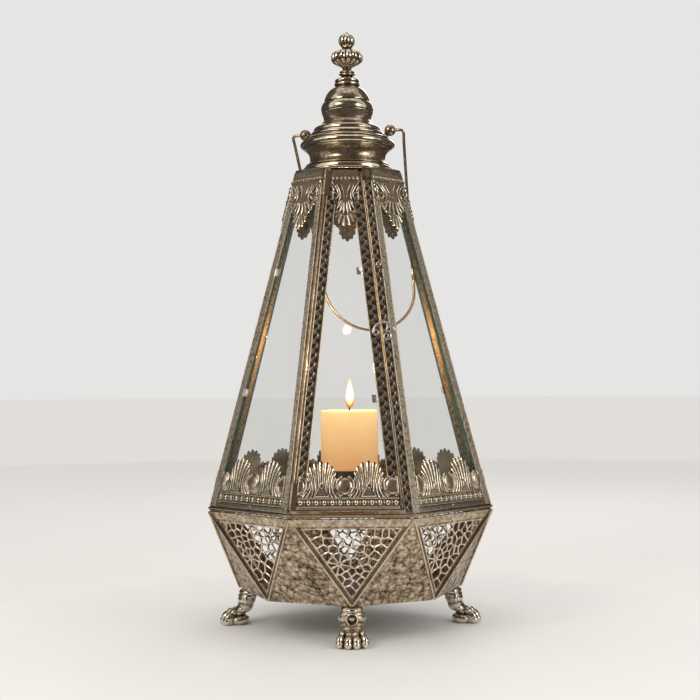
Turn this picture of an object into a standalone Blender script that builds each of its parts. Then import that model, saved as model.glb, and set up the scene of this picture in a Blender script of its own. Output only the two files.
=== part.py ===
"""Eight-sided standing candle lantern: pierced base on four paws, tapering glazed body with a hinged door,
turned roof with finial, and a wire bail. Metres, +Z up, origin at the middle of the floor under the feet.
Face 0 looks along -Y and is the door. Faces and corners are counted counter-clockwise seen from above."""

from math import atan2, cos, pi, radians, sin, sqrt, tan

import bmesh
import bpy
import numpy as np
from mathutils import Matrix, Vector

MM = 0.001
SIDES = 8
HALF_SIDE = pi / SIDES
GAP = 0.3 * MM

# Body heights and radii, across the corners
WAIST_Z = 125.7 * MM
WAIST_R = 152.0 * MM
TOP_Z = 465.1 * MM
TOP_R = 57.8 * MM
LOWER_Z = 36.6 * MM
LOWER_R = 0.75 * WAIST_R

# Base sheet, its windows and grilles
SHELL_WALL = 1.5 * MM
WINDOW_TOP_BAND = 9.0 * MM
WINDOW_SIDE_BAND = 4.0 * MM
GRILLE_THICKNESS = 1.2 * MM
GRILLE_STRAND = 1.9 * MM
GRILLE_EDGE = 2.4 * MM
GRILLE_CELL = 14.0 * MM
DAISY_R = 8.5 * MM
DAISY_PETALS = 7
EDGE_ROD_R = 0.9 * MM
PLATE_THICKNESS = 1.5 * MM

# Waist rim
RIM_HALF = 2.0 * MM
RIM_PROUD = 1.4 * MM
RIM_FLANGE_WIDTH = 30.0 * MM
RIM_FLANGE_R = WAIST_R - RIM_FLANGE_WIDTH

# Posts, glass and friezes
POST_LEG = 8.4 * MM
POST_WALL = 1.2 * MM
GLASS_THICKNESS = 2.0 * MM
TRIM_THICKNESS = 1.0 * MM
FRIEZE_BAND_TOP = 22.0 * MM
PALMETTE_PITCH = 44.4 * MM
PALMETTE_R = 12.6 * MM
PALMETTE_CENTRE = 38.9 * MM
PALMETTE_LOBES = 7
EGG_R = 7.5 * MM
EGG_CENTRE = 28.5 * MM
CROWN_BAND = 13.0 * MM
PENDANT_DROP = 50.0 * MM

# Door, measured along the face from its corners
DOOR_LEFT = 3.3 * MM
DOOR_RIGHT = 9.4 * MM
DOOR_LEFT_STILE = 9.7 * MM
DOOR_RIGHT_STILE = 11.2 * MM
DOOR_BOTTOM = 4.5 * MM
DOOR_TOP = 346.0 * MM
DOOR_RAIL = 12.0 * MM
DOOR_THICKNESS = 1.8 * MM
DOOR_TRIM_LEFT = 6.0 * MM
HINGE_DEPTH = 1.5 * MM
HINGE_ROD_R = 1.3 * MM
HINGE_SLEEVE_WALL = 0.7 * MM
HINGE_SLEEVE_LENGTH = 26.0 * MM
HINGE_SLEEVE_INSET = 3.0 * MM

# Hook latch on the door's right stile, and the scroll on the post that it drops over
LATCH_V = 177.5 * MM
LATCH_FROM_STILE = 5.3 * MM
LATCH_WIRE = 1.6 * MM
LATCH_STAND_OFF = 0.9 * MM
LATCH_CURL_R = 2.6 * MM
LATCH_REACH = 19.6 * MM
LATCH_RISE = 9.6 * MM
SCROLL_WIRE = 1.4 * MM
SCROLL_OUTER_R = 5.0 * MM
SCROLL_INNER_R = 1.3 * MM
SCROLL_DROP = 3.5 * MM
RIVET_STEM_R = 1.1 * MM
RIVET_HEAD_R = 2.5 * MM
KNOB_V = 246.5 * MM
KNOB_R = 3.0 * MM

# Candle and what carries it
BRIDGE_WIDTH = 24.0 * MM
BRIDGE_THICKNESS = 2.0 * MM
BRIDGE_LAP = 4.3 * MM
BRIDGE_REACH = RIM_FLANGE_R * cos(HALF_SIDE) + BRIDGE_LAP
DISH_R = 40.0 * MM
DISH_STEM_R = 8.0 * MM
DISH_FOOT_R = 22.0 * MM
CANDLE_SEAT_RISE = 28.0 * MM
CANDLE_SEAT_Z = WAIST_Z + CANDLE_SEAT_RISE
CANDLE_R = 30.0 * MM
CANDLE_HEIGHT = 66.7 * MM
CANDLE_TOP_Z = CANDLE_SEAT_Z + CANDLE_HEIGHT
WICK_R = 1.0 * MM
WICK_LENGTH = 9.0 * MM

# Feet
FOOT_TOES = 4
FOOT_OUT = LOWER_R + 5.0 * MM
PAW_R = 17.0 * MM
PAW_HEIGHT = 19.0 * MM
RECESS_R = 4.3 * MM
RECESS_Z = 24.5 * MM
RECESS_DEPTH = 3.0 * MM

# Roof, finial and bail. The roof and finial are drawn in steps of the top's radius
HEAD_STEP = TOP_R / 57.8
TOP_PLATE_THICKNESS = 2.6 * MM
TOP_PLATE_PROUD = 1.0 * MM
TOP_HOLE_R = 36.0 * HEAD_STEP
ROOF_WALL = 2.0 * MM
FINIAL_STEM_R = 2.8 * MM
ROOF_TOP_HOLE_R = FINIAL_STEM_R + 0.4 * MM
GADROONS = 12
LUG_Z = TOP_Z + 45.6 * HEAD_STEP
LUG_OUT = 46.0 * HEAD_STEP
LUG_R = 5.9 * MM
LUG_STEM_R = 2.4 * MM
LUG_STEM_LENGTH = 1.05 * MM
LUG_LEAN = radians(46.0)
BAIL_YAW = radians(-16.0)
BAIL_REST = radians(28.5)
BAIL_WIRE_R = 1.55 * MM
BAIL_HALF_TOP = TOP_R + 2.2 * MM
BAIL_ARC_R = TOP_R - 6.8 * MM
BAIL_DROP = 180.0 * MM
BAIL_HOLE_CLEARANCE = 0.35 * MM

SLANT = atan2((WAIST_R - TOP_R) * cos(HALF_SIDE), TOP_Z - WAIST_Z)
BODY_BOTTOM = WAIST_Z + RIM_HALF + GAP
BODY_TOP = TOP_Z - GAP
BASE_TOP = WAIST_Z - RIM_HALF - GAP - 0.7 * SHELL_WALL


def clear_scene():
    for obj in list(bpy.data.objects):
        bpy.data.objects.remove(obj)


def material(name, colour, metallic, roughness, alpha=1.0):
    made = bpy.data.materials.new(name)
    made.use_nodes = True
    shader = made.node_tree.nodes["Principled BSDF"]
    shader.inputs["Base Color"].default_value = (*colour, 1.0)
    shader.inputs["Metallic"].default_value = metallic
    shader.inputs["Roughness"].default_value = roughness
    shader.inputs["Alpha"].default_value = alpha
    made.diffuse_color = (*colour, alpha)
    return made


def add_object(name, data, finish, smooth=False):
    obj = bpy.data.objects.new(name, data)
    bpy.context.scene.collection.objects.link(obj)
    data.materials.append(finish)
    if smooth:
        data.shade_smooth()
        data.set_sharp_from_angle(angle=radians(35))
    return obj


def mesh_from(name, points, faces):
    mesh = bpy.data.meshes.new(name)
    mesh.from_pydata([tuple(p) for p in points], [], faces)
    return mesh


def turned_out(mesh):
    """Faces of a closed mesh turned to point out."""
    shape = bmesh.new()
    shape.from_mesh(mesh)
    bmesh.ops.recalc_face_normals(shape, faces=shape.faces[:])
    shape.to_mesh(mesh)
    shape.free()
    return mesh


def loft(name, rings, closed=False):
    """Skin through rings of equal count. Open lofts get end caps, closed ones run back to the first ring."""
    count = len(rings[0])
    points = [p for ring in rings for p in ring]
    faces = []
    spans = len(rings) if closed else len(rings) - 1
    for i in range(spans):
        a, b = i * count, (i + 1) % len(rings) * count
        faces += [(a + j, a + (j + 1) % count, b + (j + 1) % count, b + j) for j in range(count)]
    if not closed:
        faces.append(tuple(reversed(range(count))))
        faces.append(tuple(range((len(rings) - 1) * count, len(rings) * count)))
    return turned_out(mesh_from(name, points, faces))


def turned(name, profile, steps, fluting=None):
    """Closed (radius, height) profile turned about Z. fluting gives a factor on the radius from angle and height."""
    rings = []
    for i in range(steps):
        t = 2 * pi * i / steps
        flute = [fluting(i, z) if fluting else 1.0 for _, z in profile]
        rings.append([(r * f * cos(t), r * f * sin(t), z) for (r, z), f in zip(profile, flute)])
    mesh = loft(name, rings, closed=True)
    shape = bmesh.new()
    shape.from_mesh(mesh)
    bmesh.ops.remove_doubles(shape, verts=shape.verts[:], dist=0.001 * MM)
    bmesh.ops.dissolve_degenerate(shape, edges=shape.edges[:], dist=0.001 * MM)
    bmesh.ops.recalc_face_normals(shape, faces=shape.faces[:])
    shape.to_mesh(mesh)
    shape.free()
    return mesh


def arc(centre, radius, start, end, steps):
    """Points of a circular arc in a plane, with both ends."""
    angles = [start + (end - start) * i / steps for i in range(steps + 1)]
    return [(centre[0] + radius * cos(a), centre[1] + radius * sin(a)) for a in angles]


def face_angle(k):
    return -pi / 2 + 2 * HALF_SIDE * k


def body_radius(z):
    return WAIST_R + (TOP_R - WAIST_R) * (z - WAIST_Z) / (TOP_Z - WAIST_Z)


def half_width(v):
    """Half of a face's width at a height v measured up the slope from the waist."""
    return body_radius(WAIST_Z + v * cos(SLANT)) * sin(HALF_SIDE)


def on_side(k, x, z, depth):
    """Point of face k at height z, x along the face and a level distance inside it."""
    out = body_radius(z) * cos(HALF_SIDE) - depth
    t = face_angle(k)
    return Vector((out * cos(t) - x * sin(t), out * sin(t) + x * cos(t), z))


def on_face(k, x, v, depth):
    """Point of face k, x along the face, v up its slope and depth square to it."""
    t = face_angle(k)
    out = WAIST_R * cos(HALF_SIDE) - v * sin(SLANT) - depth * cos(SLANT)
    z = WAIST_Z + v * cos(SLANT) - depth * sin(SLANT)
    return Vector((out * cos(t) - x * sin(t), out * sin(t) + x * cos(t), z))


def plate(name, k, outline, front, back):
    """Flat plate on face k from an outline of (x, v) points between two depths."""
    rings = [[on_face(k, x, v, depth) for x, v in outline] for depth in (front, back)]
    return loft(name, rings)


def framed_plate(name, k, outer, inner, front, back):
    """Flat frame on face k between two outlines of equal count."""
    rings = [
        [on_face(k, x, v, front) for x, v in outer],
        [on_face(k, x, v, back) for x, v in outer],
        [on_face(k, x, v, back) for x, v in inner],
        [on_face(k, x, v, front) for x, v in inner],
    ]
    return loft(name, rings, closed=True)


def octagon_ring(name, profile, turn=0.0):
    """Closed (corner radius, height) profile carried round the eight corners."""
    rings = []
    for i in range(SIDES):
        t = -pi / 2 + HALF_SIDE + turn + 2 * HALF_SIDE * i
        rings.append([(r * cos(t), r * sin(t), z) for r, z in profile])
    return loft(name, rings, closed=True)


def tube(name, points, radius, cyclic=False, resolution=2):
    curve = bpy.data.curves.new(name, "CURVE")
    curve.dimensions = "3D"
    curve.bevel_depth = radius
    curve.bevel_resolution = resolution
    curve.use_fill_caps = not cyclic
    curve.twist_mode = "MINIMUM" if cyclic else "Z_UP"
    line = curve.splines.new("POLY")
    line.points.add(len(points) - 1)
    for slot, p in zip(line.points, points):
        slot.co = (*p, 1.0)
    line.use_cyclic_u = cyclic
    return curve


def hide_cutter(obj):
    obj.hide_render = True
    obj.display_type = "WIRE"


def cut(obj, cutter):
    step = obj.modifiers.new("cut_" + cutter.name, "BOOLEAN")
    step.operation = "DIFFERENCE"
    step.solver = "EXACT"
    step.object = cutter


def rod_mesh(name, start, end, radius, sides):
    """Straight round rod between two points."""
    start, end = Vector(start), Vector(end)
    turn = (end - start).to_track_quat("Z", "Y").to_matrix()
    rings = []
    for centre in (start, end):
        rings.append([centre + turn @ Vector((radius * cos(a), radius * sin(a), 0))
                      for a in (2 * pi * i / sides for i in range(sides))])
    return loft(name, rings)


def waist_corner(i):
    """Base corner i, on the right of face i."""
    t = face_angle(i) + HALF_SIDE
    return Vector((WAIST_R * cos(t), WAIST_R * sin(t), BASE_TOP))


def lower_corner(i):
    t = face_angle(i)
    return Vector((LOWER_R * cos(t), LOWER_R * sin(t), LOWER_Z))


def base_window(k):
    """Corners of the window in the down-pointing triangle k: top left, top right, bottom."""
    left, right, low = waist_corner(k - 1), waist_corner(k), lower_corner(k)
    width = (right - left).length
    middle = (left + right) / 2
    drop = (middle - low).length
    across, down = (right - left) / width, (low - middle) / drop
    side = sqrt((width / 2) ** 2 + drop ** 2)
    top_half = (width / 2) * (1 - WINDOW_TOP_BAND / drop) - WINDOW_SIDE_BAND * side / drop
    tip = drop - WINDOW_SIDE_BAND * side / (width / 2)
    top = middle + down * WINDOW_TOP_BAND
    return top - across * top_half, top + across * top_half, middle + down * tip


def base_shell(finish):
    """Sheet of eight plain triangles standing up and eight windowed ones hanging down."""
    shape = bmesh.new()
    waist = [shape.verts.new(waist_corner(k)) for k in range(SIDES)]
    lower = [shape.verts.new(lower_corner(k)) for k in range(SIDES)]
    for k in range(SIDES):
        shape.faces.new((lower[k], lower[(k + 1) % SIDES], waist[k]))
        corners = [waist[k - 1], lower[k], waist[k]]
        left, right, tip = (shape.verts.new(p) for p in base_window(k))
        window = [left, tip, right]
        for i in range(3):
            j = (i + 1) % 3
            shape.faces.new((corners[i], corners[j], window[j], window[i]))
    mesh = bpy.data.meshes.new("base_shell")
    bmesh.ops.recalc_face_normals(shape, faces=shape.faces[:])
    shape.to_mesh(mesh)
    shape.free()
    shell = add_object("base_shell", mesh, finish)
    wall = shell.modifiers.new("wall", "SOLIDIFY")
    wall.thickness = SHELL_WALL
    wall.offset = -1.0
    wall.use_even_offset = True


def clipped(cell, normal, limit):
    """Convex polygon kept where normal . p <= limit."""
    kept = []
    for i, p in enumerate(cell):
        q = cell[(i + 1) % len(cell)]
        dp, dq = normal @ p - limit, normal @ q - limit
        if dp <= 0:
            kept.append(p)
        if dp * dq < 0:
            kept.append(p + (q - p) * dp / (dp - dq))
    return kept


def bounded(outline, seeds, index, inset):
    """Cell of one seed inside an outline, drawn in by inset on every side."""
    cell = [np.array(p) for p in outline]
    centre = seeds[index]
    for other, seed in enumerate(seeds):
        if other == index or not cell:
            continue
        normal = (seed - centre) / np.linalg.norm(seed - centre)
        cell = clipped(cell, normal, normal @ (seed + centre) / 2 - inset)
    return cell


def inset_triangle(corners, distance):
    """Triangle (anticlockwise) drawn in by a distance."""
    lines = []
    for i, p in enumerate(corners):
        q = corners[(i + 1) % 3]
        normal = np.array((q[1] - p[1], p[0] - q[0])) / np.linalg.norm(np.subtract(q, p))
        lines.append((normal, normal @ p - distance))
    return [np.linalg.solve(np.array([lines[i - 1][0], lines[i][0]]), np.array([lines[i - 1][1], lines[i][1]]))
            for i in range(3)]


def grille_seeds(triangle):
    """A daisy's centre and petals, then even seeds round it, settled by moving each to its cell's middle."""
    low = np.min(triangle, axis=0)
    high = np.max(triangle, axis=0)
    daisy_at = np.mean(triangle, axis=0)
    daisy = [daisy_at] + [daisy_at + DAISY_R * np.array((cos(a), sin(a)))
                          for a in (2 * pi * i / DAISY_PETALS for i in range(DAISY_PETALS))]
    random = np.random.default_rng(8)
    others = []
    row_step = GRILLE_CELL * sqrt(3) / 2
    rows = int((high[1] - low[1]) / row_step) + 1
    for row in range(rows):
        columns = int((high[0] - low[0]) / GRILLE_CELL) + 1
        for column in range(columns):
            spot = low + np.array(((column + row % 2 / 2) * GRILLE_CELL, (row + 0.5) * row_step))
            spot = spot + random.uniform(-0.2, 0.2, 2) * GRILLE_CELL
            if within(triangle, spot) and np.linalg.norm(spot - daisy_at) > DAISY_R + 0.6 * GRILLE_CELL:
                others.append(spot)
    for _ in range(3):
        seeds = daisy + others
        cells = [bounded(triangle, seeds, i + len(daisy), 0.0) for i in range(len(others))]
        others = [np.mean(cell, axis=0) if cell else spot for cell, spot in zip(cells, others)]
    return daisy + others


def within(triangle, spot):
    signs = []
    for i, p in enumerate(triangle):
        q = triangle[(i + 1) % 3]
        signs.append((q[0] - p[0]) * (spot[1] - p[1]) - (q[1] - p[1]) * (spot[0] - p[0]) > 0)
    return all(signs)


def grille_curve(corners):
    """Pierced sheet: an outline triangle with rounded cells left out of it."""
    curve = bpy.data.curves.new("grille", "CURVE")
    curve.dimensions = "2D"
    curve.fill_mode = "BOTH"
    curve.extrude = GRILLE_THICKNESS / 2
    field = inset_triangle(corners, GRILLE_EDGE)
    seeds = grille_seeds(field)
    outlines = [corners]
    for index in range(len(seeds)):
        cell = bounded(field, seeds, index, GRILLE_STRAND / 2)
        if len(cell) > 2 and min(np.ptp([p[0] for p in cell]), np.ptp([p[1] for p in cell])) > GRILLE_STRAND:
            outlines.append(cell)
    for outline in outlines:
        line = curve.splines.new("POLY")
        line.points.add(len(outline) - 1)
        for slot, p in zip(line.points, outline):
            slot.co = (p[0], p[1], 0.0, 1.0)
        line.use_cyclic_u = True
    return curve


def grilles(finish):
    """One pierced sheet in each window, half way through the wall."""
    left, right, tip = base_window(0)
    width, middle = (right - left).length, (left + right) / 2
    corners = [(-width / 2, 0.0), (0.0, -(middle - tip).length), (width / 2, 0.0)]
    curve = grille_curve(inset_triangle([np.array(p) for p in corners], GAP))
    for k in range(SIDES):
        left, right, tip = base_window(k)
        across = (right - left).normalized()
        up = ((left + right) / 2 - tip).normalized()
        out = across.cross(up)
        place = Matrix((across, up, out)).transposed().to_4x4()
        place.translation = (left + right) / 2 - out * SHELL_WALL / 2
        grille = bpy.data.objects.new(f"grille_{k + 1}", curve)
        bpy.context.scene.collection.objects.link(grille)
        grille.matrix_world = place
    curve.materials.append(finish)


def base_edge_moulding(finish):
    """One rod that zigzags over the sixteen sloping edges of the base, just clear of the sheet."""
    lift = (EDGE_ROD_R + GAP) * 1.25
    points = []
    for k in range(SIDES):
        for corner, drop, rise in ((lower_corner(k), 0.0, 3.0 * MM), (waist_corner(k), 3.2 * MM, 0.0)):
            out = Vector((corner.x, corner.y, 0)).normalized()
            slope = (waist_corner(k) - lower_corner(k)).normalized()
            level = slope.z * (rise - drop)
            shift = out * (lift * 1.15 + (rise - drop) * 0.30)
            points.append(corner + shift + Vector((0, 0, level)))
    add_object("base_edge_moulding", tube("base_edge_moulding", points, EDGE_ROD_R, cyclic=True), finish)


def bottom_plate(finish):
    radius = LOWER_R - 2.1 * MM
    rings = []
    for z in (LOWER_Z + GAP, LOWER_Z + GAP + PLATE_THICKNESS):
        rings.append([(radius * cos(face_angle(k)), radius * sin(face_angle(k)), z) for k in range(SIDES)])
    add_object("bottom_plate", loft("bottom_plate", rings), finish)


def foot_mesh():
    """Lion's paw facing +X: level sections with toes in front, a narrow ankle and a swelling knee."""
    top = LOWER_Z - GAP
    sections = (
        (0.0, 0.0, 0.88, 0.92),
        (3.0 * MM, 0.0, 1.0, 1.0),
        (PAW_HEIGHT * 0.5, 0.0, 1.0, 1.0),
        (PAW_HEIGHT * 0.8, -1.5 * MM, 0.84, 0.86),
        (PAW_HEIGHT, -6.0 * MM, 0.56, 0.66),
        (22.0 * MM, -9.0 * MM, 0.50, 0.72),
        (27.0 * MM, -10.0 * MM, 0.50, 0.80),
        (32.0 * MM, -10.5 * MM, 0.46, 0.82),
        (top, -10.5 * MM, 0.42, 0.80),
    )
    count = 28
    rings = []
    for z, back, deep, wide in sections:
        ring = []
        for i in range(count):
            a = 2 * pi * i / count
            toes = max(0.0, cos(a)) ** 0.5 * max(0.0, 1 - z / PAW_HEIGHT) ** 0.4
            ripple = 1 + 0.09 * toes * (abs(sin(a * FOOT_TOES)) - 0.5)
            ring.append((FOOT_OUT + back + PAW_R * deep * ripple * cos(a), PAW_R * wide * ripple * sin(a), z))
        rings.append(ring)
    return loft("foot", rings)


def feet(finish):
    mesh = foot_mesh()
    mesh.shade_smooth()
    mesh.materials.append(finish)
    knee_out = FOOT_OUT - 9.5 * MM + PAW_R * 0.5
    for k, name in enumerate(("front", "right", "back", "left")):
        foot = bpy.data.objects.new("foot_" + name, mesh)
        bpy.context.scene.collection.objects.link(foot)
        turn = face_angle(2 * k)
        foot.rotation_euler.z = turn
        spin = Matrix.Rotation(turn, 3, "Z")
        inner = spin @ Vector((knee_out - RECESS_DEPTH, 0, RECESS_Z))
        outer = spin @ Vector((knee_out + 10 * MM, 0, RECESS_Z))
        cutter = add_object("recess_" + name, rod_mesh("recess", inner, outer, RECESS_R, 12), finish)
        hide_cutter(cutter)
        cut(foot, cutter)


def waist_rim(finish):
    """Rounded rim with an inward flange that carries the glazed body and the candle bridge."""
    bead = RIM_PROUD
    profile = (
        (WAIST_R - 2.0 * MM, RIM_HALF),
        (WAIST_R + 0.5 * bead, RIM_HALF * 0.85),
        (WAIST_R + bead, RIM_HALF * 0.35),
        (WAIST_R + bead, -RIM_HALF * 0.35),
        (WAIST_R + 0.5 * bead, -RIM_HALF * 0.85),
        (WAIST_R - 2.0 * MM, -RIM_HALF),
        (WAIST_R - 3.0 * MM, 0.0),
        (RIM_FLANGE_R, 0.0),
        (RIM_FLANGE_R, RIM_HALF),
    )
    add_object("waist_rim", octagon_ring("waist_rim", [(r, WAIST_Z + z) for r, z in profile]), finish)


def candle_bridge(finish):
    """Cross of two flat bars over the open waist."""
    a, b = BRIDGE_WIDTH / 2, BRIDGE_REACH
    outline = [(b, -a), (b, a), (a, a), (a, b), (-a, b), (-a, a), (-b, a), (-b, -a), (-a, -a), (-a, -b), (a, -b), (a, -a)]
    low = BODY_BOTTOM
    rings = [[(x, y, z) for x, y in outline] for z in (low, low + BRIDGE_THICKNESS)]
    add_object("candle_bridge", loft("candle_bridge", rings), finish)


def candle_dish(finish):
    foot = BODY_BOTTOM + BRIDGE_THICKNESS + GAP
    floor = CANDLE_SEAT_Z - GAP
    profile = (
        (0.0, foot),
        (DISH_FOOT_R, foot),
        (DISH_FOOT_R, foot + 2.0 * MM),
        (DISH_STEM_R, foot + 5.0 * MM),
        (DISH_STEM_R, floor - 6.0 * MM),
        (DISH_R * 0.5, floor - 3.0 * MM),
        (DISH_R, floor + 1.0 * MM),
        (DISH_R + 2.5 * MM, floor + 6.0 * MM),
        (DISH_R + 1.0 * MM, floor + 6.5 * MM),
        (DISH_R - 2.5 * MM, floor),
        (0.0, floor),
    )
    add_object("candle_dish", turned("candle_dish", profile, 32), finish, smooth=True)


def candle(wax, cotton):
    rim = 1.2 * MM
    profile = (
        (0.0, CANDLE_SEAT_Z),
        (CANDLE_R, CANDLE_SEAT_Z),
        (CANDLE_R, CANDLE_TOP_Z - rim),
        (CANDLE_R - rim, CANDLE_TOP_Z),
        (CANDLE_R * 0.75, CANDLE_TOP_Z - 1.5 * MM),
        (0.0, CANDLE_TOP_Z - 2.5 * MM),
    )
    add_object("candle", turned("candle", profile, 32), wax, smooth=True)
    start = CANDLE_TOP_Z - 2.5 * MM + GAP
    points = [(0, 0, start), (0, 0, start + WICK_LENGTH * 0.6), (0.8 * MM, 0, start + WICK_LENGTH)]
    add_object("candle_wick", tube("candle_wick", points, WICK_R, resolution=1), cotton)


def post_section(k, z):
    """Level section of the angle strip on the corner to the right of face k."""
    half = body_radius(z) * sin(HALF_SIDE)
    wall = POST_WALL / cos(SLANT)
    inner = (body_radius(z) * cos(HALF_SIDE) - wall) * tan(HALF_SIDE)
    leg = half - POST_LEG
    return [
        on_side(k, leg, z, 0), on_side(k, half, z, 0), on_side(k + 1, -leg, z, 0),
        on_side(k + 1, -leg, z, wall), on_side(k, inner, z, wall), on_side(k, leg, z, wall),
    ]


def hinge_post_section(k, z):
    """Level section of the strip beside the door's hinge: one leg on face k, turned in behind the rod."""
    half = body_radius(z) * sin(HALF_SIDE)
    wall = POST_WALL / cos(SLANT)
    near, far = half - DOOR_LEFT, half - POST_LEG - 1.5 * MM
    deep = 2 * HINGE_DEPTH + POST_WALL + 1.6 * MM
    return [
        on_side(k, far, z, 0), on_side(k, near, z, 0), on_side(k, near, z, deep),
        on_side(k, near - wall, z, deep), on_side(k, near - wall, z, wall), on_side(k, far, z, wall),
    ]


def corner_posts(finish):
    for k in range(SIDES):
        section = hinge_post_section if k == SIDES - 1 else post_section
        rings = [section(k, z) for z in (BODY_BOTTOM, BODY_TOP)]
        add_object(f"corner_post_{k + 1}", loft("corner_post", rings), finish)


def glass_panes(finish):
    """Seven fixed panes behind the posts' legs."""
    front = POST_WALL + GAP
    back = front + GLASS_THICKNESS
    for k in range(1, SIDES):
        rings = []
        for z in (BODY_BOTTOM, BODY_TOP):
            reach = (body_radius(z) * cos(HALF_SIDE) - back / cos(SLANT)) * tan(HALF_SIDE) - 0.6 * MM
            last = reach - DOOR_LEFT - POST_WALL if k == SIDES - 1 else reach
            depths = (front / cos(SLANT), back / cos(SLANT))
            rings.append([on_side(k, x, z, d) for x, d in
                          ((-reach, depths[0]), (last, depths[0]), (last, depths[1]), (-reach, depths[1]))])
        add_object(f"glass_pane_{k}", loft("glass_pane", rings), finish)


def frieze_outline(left, right, bottom, centre):
    """Plain band with two scalloped palmettes and three eggs standing on it, cut off at its ends."""
    points = []
    palmette_start = radians(200)
    for x in (centre + PALMETTE_PITCH, centre + PALMETTE_PITCH / 2, centre,
              centre - PALMETTE_PITCH / 2, centre - PALMETTE_PITCH):
        is_egg = abs(round((x - centre) / (PALMETTE_PITCH / 2))) % 2 == 0
        if is_egg:
            points += arc((x, EGG_CENTRE), EGG_R, radians(40), radians(140), 4)
            continue
        steps = 2 * PALMETTE_LOBES
        sweep = 2 * palmette_start - pi
        for i in range(steps + 1):
            a = pi / 2 + sweep / 2 - sweep * (1 - i / steps)
            r = PALMETTE_R * (1.0 if i % 2 else 0.92)
            points.append((x + r * cos(a), PALMETTE_CENTRE + r * sin(a)))
    inside = [(x, v) for x, v in points if left(v) < x < right(v)]
    band = FRIEZE_BAND_TOP
    return [(left(bottom), bottom), (right(bottom), bottom), (right(band), band), *inside, (left(band), band)]


def lower_friezes(finish):
    """Stamped palmette strips between the legs of the posts, in front of the fixed panes."""
    def edge(v):
        return half_width(v) - POST_LEG - GAP * 1.5

    bottom = (RIM_HALF + GAP * 1.5) / cos(SLANT)
    for k in range(1, SIDES):
        cut_back = 1.5 * MM + GAP if k == SIDES - 1 else 0.0
        outline = frieze_outline(lambda v: -edge(v), lambda v: edge(v) - cut_back, bottom, 0.0)
        back = POST_WALL
        add_object(f"lower_frieze_{k}", plate("lower_frieze", k, outline, back - TRIM_THICKNESS, back), finish)


def pendant_outline(half, top, centre=0.0):
    """Hanging palmette under a band, from right to left: scrolled shoulders, then a scalloped fan."""
    shoulder = (0.0, 1.0), (0.40, 0.98), (0.52, 0.84), (0.60, 0.80), (0.66, 0.62), (0.74, 0.60), (0.80, 0.44), (0.90, 0.34)
    right = [(centre + half * w, top - PENDANT_DROP * d) for d, w in shoulder]
    left = [(2 * centre - x, v) for x, v in reversed(right)]
    return right + [(centre, top - PENDANT_DROP)] + left


def crown_band(finish):
    """Plain collar round the top of the seven fixed sides and the door's post, with a pendant on each side."""
    top = (BODY_TOP - WAIST_Z) / cos(SLANT)
    low = top - CROWN_BAND
    depth = -GAP
    shape = bmesh.new()

    def corner(k, v):
        """Top or bottom of the band at the corner to the right of face k."""
        out = (body_radius(WAIST_Z + v * cos(SLANT)) - depth / cos(HALF_SIDE) / cos(SLANT))
        t = face_angle(k) + HALF_SIDE
        return shape.verts.new((out * cos(t), out * sin(t), WAIST_Z + v * cos(SLANT)))

    corners = [(corner(k, top), corner(k, low)) for k in range(SIDES)]
    start = half_width(low) - POST_LEG
    first = [shape.verts.new(on_face(0, start, v, depth)) for v in (top, low)]
    shape.faces.new((first[0], first[1], corners[0][1], corners[0][0]))
    for k in range(1, SIDES - 1):
        left, right = corners[k - 1], corners[k]
        pendant = [shape.verts.new(on_face(k, x, v, depth)) for x, v in pendant_outline(half_width(low) * 0.97, low)]
        shape.faces.new((right[0], left[0], left[1], *reversed(pendant), right[1]))
    k = SIDES - 1
    end = half_width(low) - DOOR_LEFT - GAP
    last = [shape.verts.new(on_face(k, end, v, depth)) for v in (top, low)]
    pendant = [shape.verts.new(on_face(k, x, v, depth))
               for x, v in pendant_outline(half_width(low) - 2 * DOOR_LEFT, low, -DOOR_LEFT / 2)]
    shape.faces.new((last[0], corners[k - 1][0], corners[k - 1][1], *reversed(pendant), last[1]))
    bmesh.ops.delete(shape, geom=list(corners[k]), context="VERTS")
    mesh = bpy.data.meshes.new("crown_band")
    bmesh.ops.recalc_face_normals(shape, faces=shape.faces[:])
    shape.to_mesh(mesh)
    shape.free()
    band = add_object("crown_band", mesh, finish)
    wall = band.modifiers.new("wall", "SOLIDIFY")
    wall.thickness = TRIM_THICKNESS
    wall.offset = 1.0
    wall.use_even_offset = True


def door_edges(inset, low, high):
    """Corners of a door outline: left and right edges drawn in by inset from the leaf's own edges."""
    return [
        (-(half_width(low) - DOOR_LEFT - inset[0]), low),
        (half_width(low) - DOOR_RIGHT - inset[1], low),
        (half_width(high) - DOOR_RIGHT - inset[1], high),
        (-(half_width(high) - DOOR_LEFT - inset[0]), high),
    ]


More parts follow.
